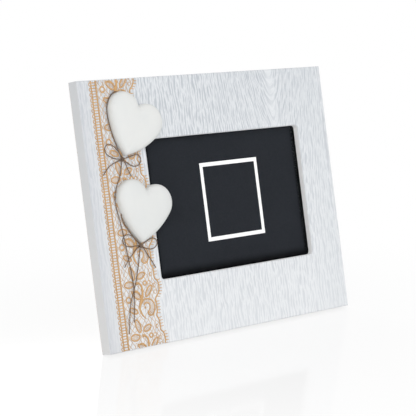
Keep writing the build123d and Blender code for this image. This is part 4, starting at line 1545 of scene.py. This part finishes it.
# %% Glass
material, tree, shader, place = start_finish("clear_glass")
fill(shader, {
    "Base Color": (1, 1, 1, 1),
    "Roughness": span(tree, mottle(tree, place, scale=60.0), 0.01, 0.03),
    "Transmission Weight": 1.0,
    "IOR": 1.15,
})
path = add(tree, "ShaderNodeLightPath").outputs
lighting = sums(tree, "MAXIMUM", path["Is Shadow Ray"], path["Is Diffuse Ray"])
straight = add(tree, "ShaderNodeBsdfTransparent").outputs[0]
pane = mix_shaders(tree, lighting, shader.outputs[0], straight)
fill(tree.nodes["Material Output"], {"Surface": pane})
dress(material, nodes["glass_pane"])
print("pane dressed in", material.name)

# %% [markdown]
# The card is black, with painted shade that runs it out near black along its left, right and lower edge,
# where the lip of the frame shades it. Its plain white square line could be a mesh of its own, but it is only
# ink, so it is a mask made from the bench coordinates: the larger of the two distances from the square's
# middle, compared with the middle of the line.

# %% Insert card
SQUARE_PLACE = (128.22, 89.2)
SQUARE_HALF = 27.15
SQUARE_LINE = 2.7
SHADE_LEFT = 54.5
SHADE_RIGHT = 194.75
SHADE_FOOT = 42.0
SHADE_WIDTH = 7.5
SIDE_STEEPNESS = 2.0
material, tree, shader, place = start_finish("black_card")
bench, card_u, card_v, _ = bench_axes(tree, place)
from_square = square_distance(tree, card_u, card_v, SQUARE_PLACE)
printed = sums(tree, "COMPARE", from_square, SQUARE_HALF - SQUARE_LINE / 2, SQUARE_LINE / 2)
paper = blend_colours(tree, mottle(tree, bench, scale=0.9), tint(37, 40, 45), tint(41, 44, 49))
from_left = sums(tree, "MULTIPLY", sums(tree, "SUBTRACT", card_u, SHADE_LEFT), SIDE_STEEPNESS)
from_right = sums(tree, "MULTIPLY", sums(tree, "SUBTRACT", SHADE_RIGHT, card_u), SIDE_STEEPNESS)
from_foot = sums(tree, "SUBTRACT", card_v, SHADE_FOOT)
nearest = chain(tree, "MINIMUM", from_left, from_right, from_foot)
shade = ramp(tree, nearest, 0.0, SHADE_WIDTH, kind="SMOOTHSTEP")
# Painted shade: the paper goes near black within a few millimetres of the window's left, right and lower edge.
paper = blend_colours(tree, shade, tint(10, 11, 13), paper)
fill(shader, {
    "Base Color": blend_colours(tree, printed, paper, tint(254, 254, 254)),
    "Roughness": 0.75,
    "Specular IOR Level": 0.1,
    "Normal": bump(tree, mottle(tree, bench, scale=2.2), strength=0.2, depth=0.05),
})
dress(material, nodes["insert_card"])
print("card dressed in", material.name)

# %% [markdown]
# The back panel and the strut are pressed board with a dark facing. Pressed board shows short fibres and a
# slight sheen, so fine mottling in two sizes carries both the colour and the relief.

# %% Back board
material, tree, shader, place = start_finish("back_board")
bench = use(tree, bench_group, {"Place": place})
fibre = mottle(tree, bench, scale=0.8)
speck = mottle(tree, bench, scale=3.0, low=0.35, high=0.75)
faced = blend_colours(tree, fibre, tint(58, 52, 47), tint(74, 67, 60))
fill(shader, {
    "Base Color": blend_colours(tree, sums(tree, "MULTIPLY", speck, 0.5), faced, tint(98, 89, 80)),
    "Roughness": span(tree, fibre, 0.6, 0.8),
    "Normal": bump(tree, speck, strength=0.35, depth=0.08),
})
dress(material, nodes["back_panel"], softened["easel_strut"])
print("panel and strut dressed in", material.name)

# %% [markdown]
# Hinge, buttons, hanger and fasteners are zinc plated. Zinc is grey and softly reflective, with faint
# crystal patches: a Voronoi texture gives each patch its own brightness and gloss, and fine mottling adds
# rubbed spots.

# %% Zinc
material, tree, shader, place = start_finish("zinc_steel")
patches = add(tree, "ShaderNodeTexVoronoi", {"Vector": place, "Scale": 420.0}).outputs["Color"]
patch_tone = add(tree, "ShaderNodeSeparateColor", {0: patches}).outputs[0]
rubbed = mottle(tree, place, scale=900.0, low=0.4, high=0.7)
plated = blend_colours(tree, patch_tone, tint(168, 170, 172), tint(196, 198, 200))
patch_gloss = span(tree, patch_tone, 0.3, 0.42)
fill(shader, {
    "Base Color": blend_colours(tree, sums(tree, "MULTIPLY", rubbed, 0.35), plated, tint(140, 141, 143)),
    "Roughness": sums(tree, "MULTIPLY_ADD", rubbed, 0.15, patch_gloss),
    "Metallic": 1.0,
    "Normal": bump(tree, rubbed, strength=0.1, depth=0.02),
})
dress(material, *metal_pieces)
print("metal pieces dressed:", len(metal_pieces))

# %% [markdown]
# The hearts are matt white, like painted plaster: nearly even, with a cloudy warmth and a fine tooth. Two
# sizes of mottling give that, one for the colour and one for the gloss and the relief.

# %% White hearts
material, tree, shader, place = start_finish("white_heart")
cloud = mottle(tree, place, scale=45.0)
tooth = mottle(tree, place, scale=1500.0)
fill(shader, {
    "Base Color": blend_colours(tree, cloud, tint(219, 221, 220), tint(224, 225, 223)),
    "Roughness": span(tree, tooth, 0.5, 0.65),
    "Normal": bump(tree, tooth, strength=0.15, depth=0.03),
    "Specular IOR Level": 0.3,
})
dress(material, *hearts.values())
print("hearts dressed:", len(hearts))

# %% [markdown]
# Cotton thread and twine share a fuzzy look. Both are spun, so fine noise breaks up their colour and small
# bumps stand for the fibres, and one function dresses both. On cotton the light also spreads in a soft
# sheen. The lace is a warm tan, the twine a dark taupe.

# %% Lace and twine


def dress_thread(name, pieces, tints, dye_scale, fibre_scale, fibre_share, fibre_depth):
    """Finish of a spun thread: two tints of dye, and a third one between the fibres."""
    material, tree, shader, place = start_finish(name)
    spun = mottle(tree, place, fibre_scale)
    dyed = blend_colours(tree, mottle(tree, place, dye_scale), tints[0], tints[1])
    colour = blend_colours(tree, sums(tree, "MULTIPLY", spun, fibre_share), dyed, tints[2])
    fill(shader, {"Base Color": colour, "Normal": bump(tree, spun, strength=0.5, depth=fibre_depth)})
    dress(material, *pieces)
    return shader


TANS = (tint(206, 164, 114), tint(217, 178, 130), tint(190, 146, 98))
TAUPES = (tint(118, 99, 84), tint(136, 116, 100), tint(106, 88, 74))
cotton = dress_thread(
    "cotton_lace", [lace], TANS, dye_scale=120.0, fibre_scale=2400.0, fibre_share=0.45, fibre_depth=0.08
)
fill(cotton, {"Roughness": 0.85, "Sheen Weight": 0.15})
waxed = dress_thread(
    "twine", twine.values(), TAUPES, dye_scale=150.0, fibre_scale=3000.0, fibre_share=0.5, fibre_depth=0.05
)
fill(waxed, {"Roughness": 0.7})
print("lace and twine dressed:", 1 + len(twine))

# %% [markdown]
# The room is white. What the camera, gloss and glass see of the floor is mostly plain white too. Near the
# frame it has a share of real diffuse light, which keeps the soft shadow, and a trace of gloss, which keeps
# a faint reflection; both fade out with the distance, so the floor has no visible end.

# %% Floor
WHITE = (1, 1, 1, 1)
PALE = (0.9, 0.9, 0.9, 1)
FLOOR_SIZE = 6.0
SHADOW_SHARE = 0.12
POLISH_SHARE = 0.09
POLISH_ROUGHNESS = 0.08
FADE_START = 0.08
FADE_END = 0.4
bpy.ops.mesh.primitive_plane_add(size=FLOOR_SIZE)
floor = bpy.context.object
floor.name = "studio_floor"
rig.stage(floor)


def seen_directly(tree):
    """1 for rays from the camera, a glossy surface or glass, else 0."""
    path = add(tree, "ShaderNodeLightPath").outputs
    return chain(tree, "MAXIMUM", path["Is Camera Ray"], path["Is Glossy Ray"], path["Is Transmission Ray"])


material = bpy.data.materials.new("studio_floor")
material.use_nodes = True
tree = material.node_tree
tree.nodes.clear()
place = add(tree, "ShaderNodeTexCoord").outputs["Object"]
distance = add(tree, "ShaderNodeVectorMath", {0: place}, operation="LENGTH").outputs["Value"]
nearness = ramp(tree, distance, FADE_START, FADE_END, 1.0, 0.0, "SMOOTHSTEP")
matt = add(tree, "ShaderNodeBsdfDiffuse", {"Color": PALE}).outputs[0]
white = add(tree, "ShaderNodeEmission", {"Color": WHITE, "Strength": 1.0}).outputs[0]
polish = add(tree, "ShaderNodeBsdfGlossy", {"Color": WHITE, "Roughness": POLISH_ROUGHNESS}).outputs[0]
seen = mix_shaders(tree, sums(tree, "MULTIPLY", nearness, SHADOW_SHARE), white, matt)
seen = mix_shaders(tree, sums(tree, "MULTIPLY", nearness, POLISH_SHARE), seen, polish)
choice = mix_shaders(tree, seen_directly(tree), matt, seen)
add(tree, "ShaderNodeOutputMaterial", {"Surface": choice})
dress(material, floor)
print("floor of", FLOOR_SIZE, "m")

# %% [markdown]
# The world is white to the camera and through glass, while the light that falls on the frame is weaker, so
# pale surfaces keep their colour. Mirror images see a room that is white overhead and behind the frame, but
# dark in front of it, as a studio is behind the camera. So the glass stays clear over the black card.

# %% World
SKY_LIGHT = 0.65
DARK_ROOM = 0.02
BEHIND = (-0.4, 0.1)
OVERHEAD = (0.4, 0.8)
world = bpy.data.worlds.new("studio")
bpy.context.scene.world = world
world.use_nodes = True
tree = world.node_tree
tree.nodes.clear()
lit = add(tree, "ShaderNodeBackground", {"Color": WHITE, "Strength": SKY_LIGHT}).outputs[0]
plain = add(tree, "ShaderNodeBackground", {"Color": WHITE, "Strength": 1.0}).outputs[0]
choice = mix_shaders(tree, seen_directly(tree), lit, plain)
direction = add(tree, "ShaderNodeTexCoord").outputs["Generated"]
toward = add(tree, "ShaderNodeSeparateXYZ", {0: direction}).outputs
open_sides = (ramp(tree, toward["Y"], *BEHIND), ramp(tree, toward["Z"], *OVERHEAD))
brightness = chain(tree, "MAXIMUM", *open_sides, DARK_ROOM)
room = add(tree, "ShaderNodeBackground", {"Color": WHITE, "Strength": brightness}).outputs[0]
mirror_rays = add(tree, "ShaderNodeLightPath").outputs["Is Glossy Ray"]
choice = mix_shaders(tree, mirror_rays, choice, room)
add(tree, "ShaderNodeOutputWorld", {"Surface": choice})
print("light of the sky:", SKY_LIGHT)

# %% [markdown]
# Three large soft lamps do the modelling. The strongest stands in front and to the left, beside the camera:
# it opens up the left side and the wall of the window and draws a ridge of light down each heart. A lower
# one in front and to the right keeps the face of the board brighter than its side, and one from behind
# keeps the back from going flat in other views. The two in front are kept out of mirror images, so that the
# glass stays clear. Each is listed by its place, its size, its power and whether mirror images show it.

# %% Lamps
LAMPS = {
    "front_left": ((-1.1, -1.1, 0.7), 1.0, 9.2, False),
    "front_right": ((0.9, -1.4, 0.45), 1.0, 6.6, False),
    "back_fill": ((0.6, 1.4, 0.9), 1.0, 6.0, True),
}
LAMP_AIM = Vector((0, 0, 0.08))
for name, (spot, size, power, mirrored) in LAMPS.items():
    direction = (LAMP_AIM - Vector(spot)).to_track_quat("-Z", "Y")
    bpy.ops.object.light_add(type="AREA", location=spot, rotation=direction.to_euler())
    lamp = bpy.context.object
    lamp.name = name
    lamp.data.size = size
    lamp.data.energy = power
    lamp.visible_glossy = mirrored
bpy.context.scene.view_settings.view_transform = "Standard"
print("lamps:", list(LAMPS))

# %% Size and finish
choose()
seen_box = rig.bounds()
boxes = {"cad": [list(point) for point in cad_box], "visual": [list(point) for point in seen_box]}
with open("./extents.json", "w") as size_file:
    json.dump(boxes, size_file)
print("sizes:", boxes)
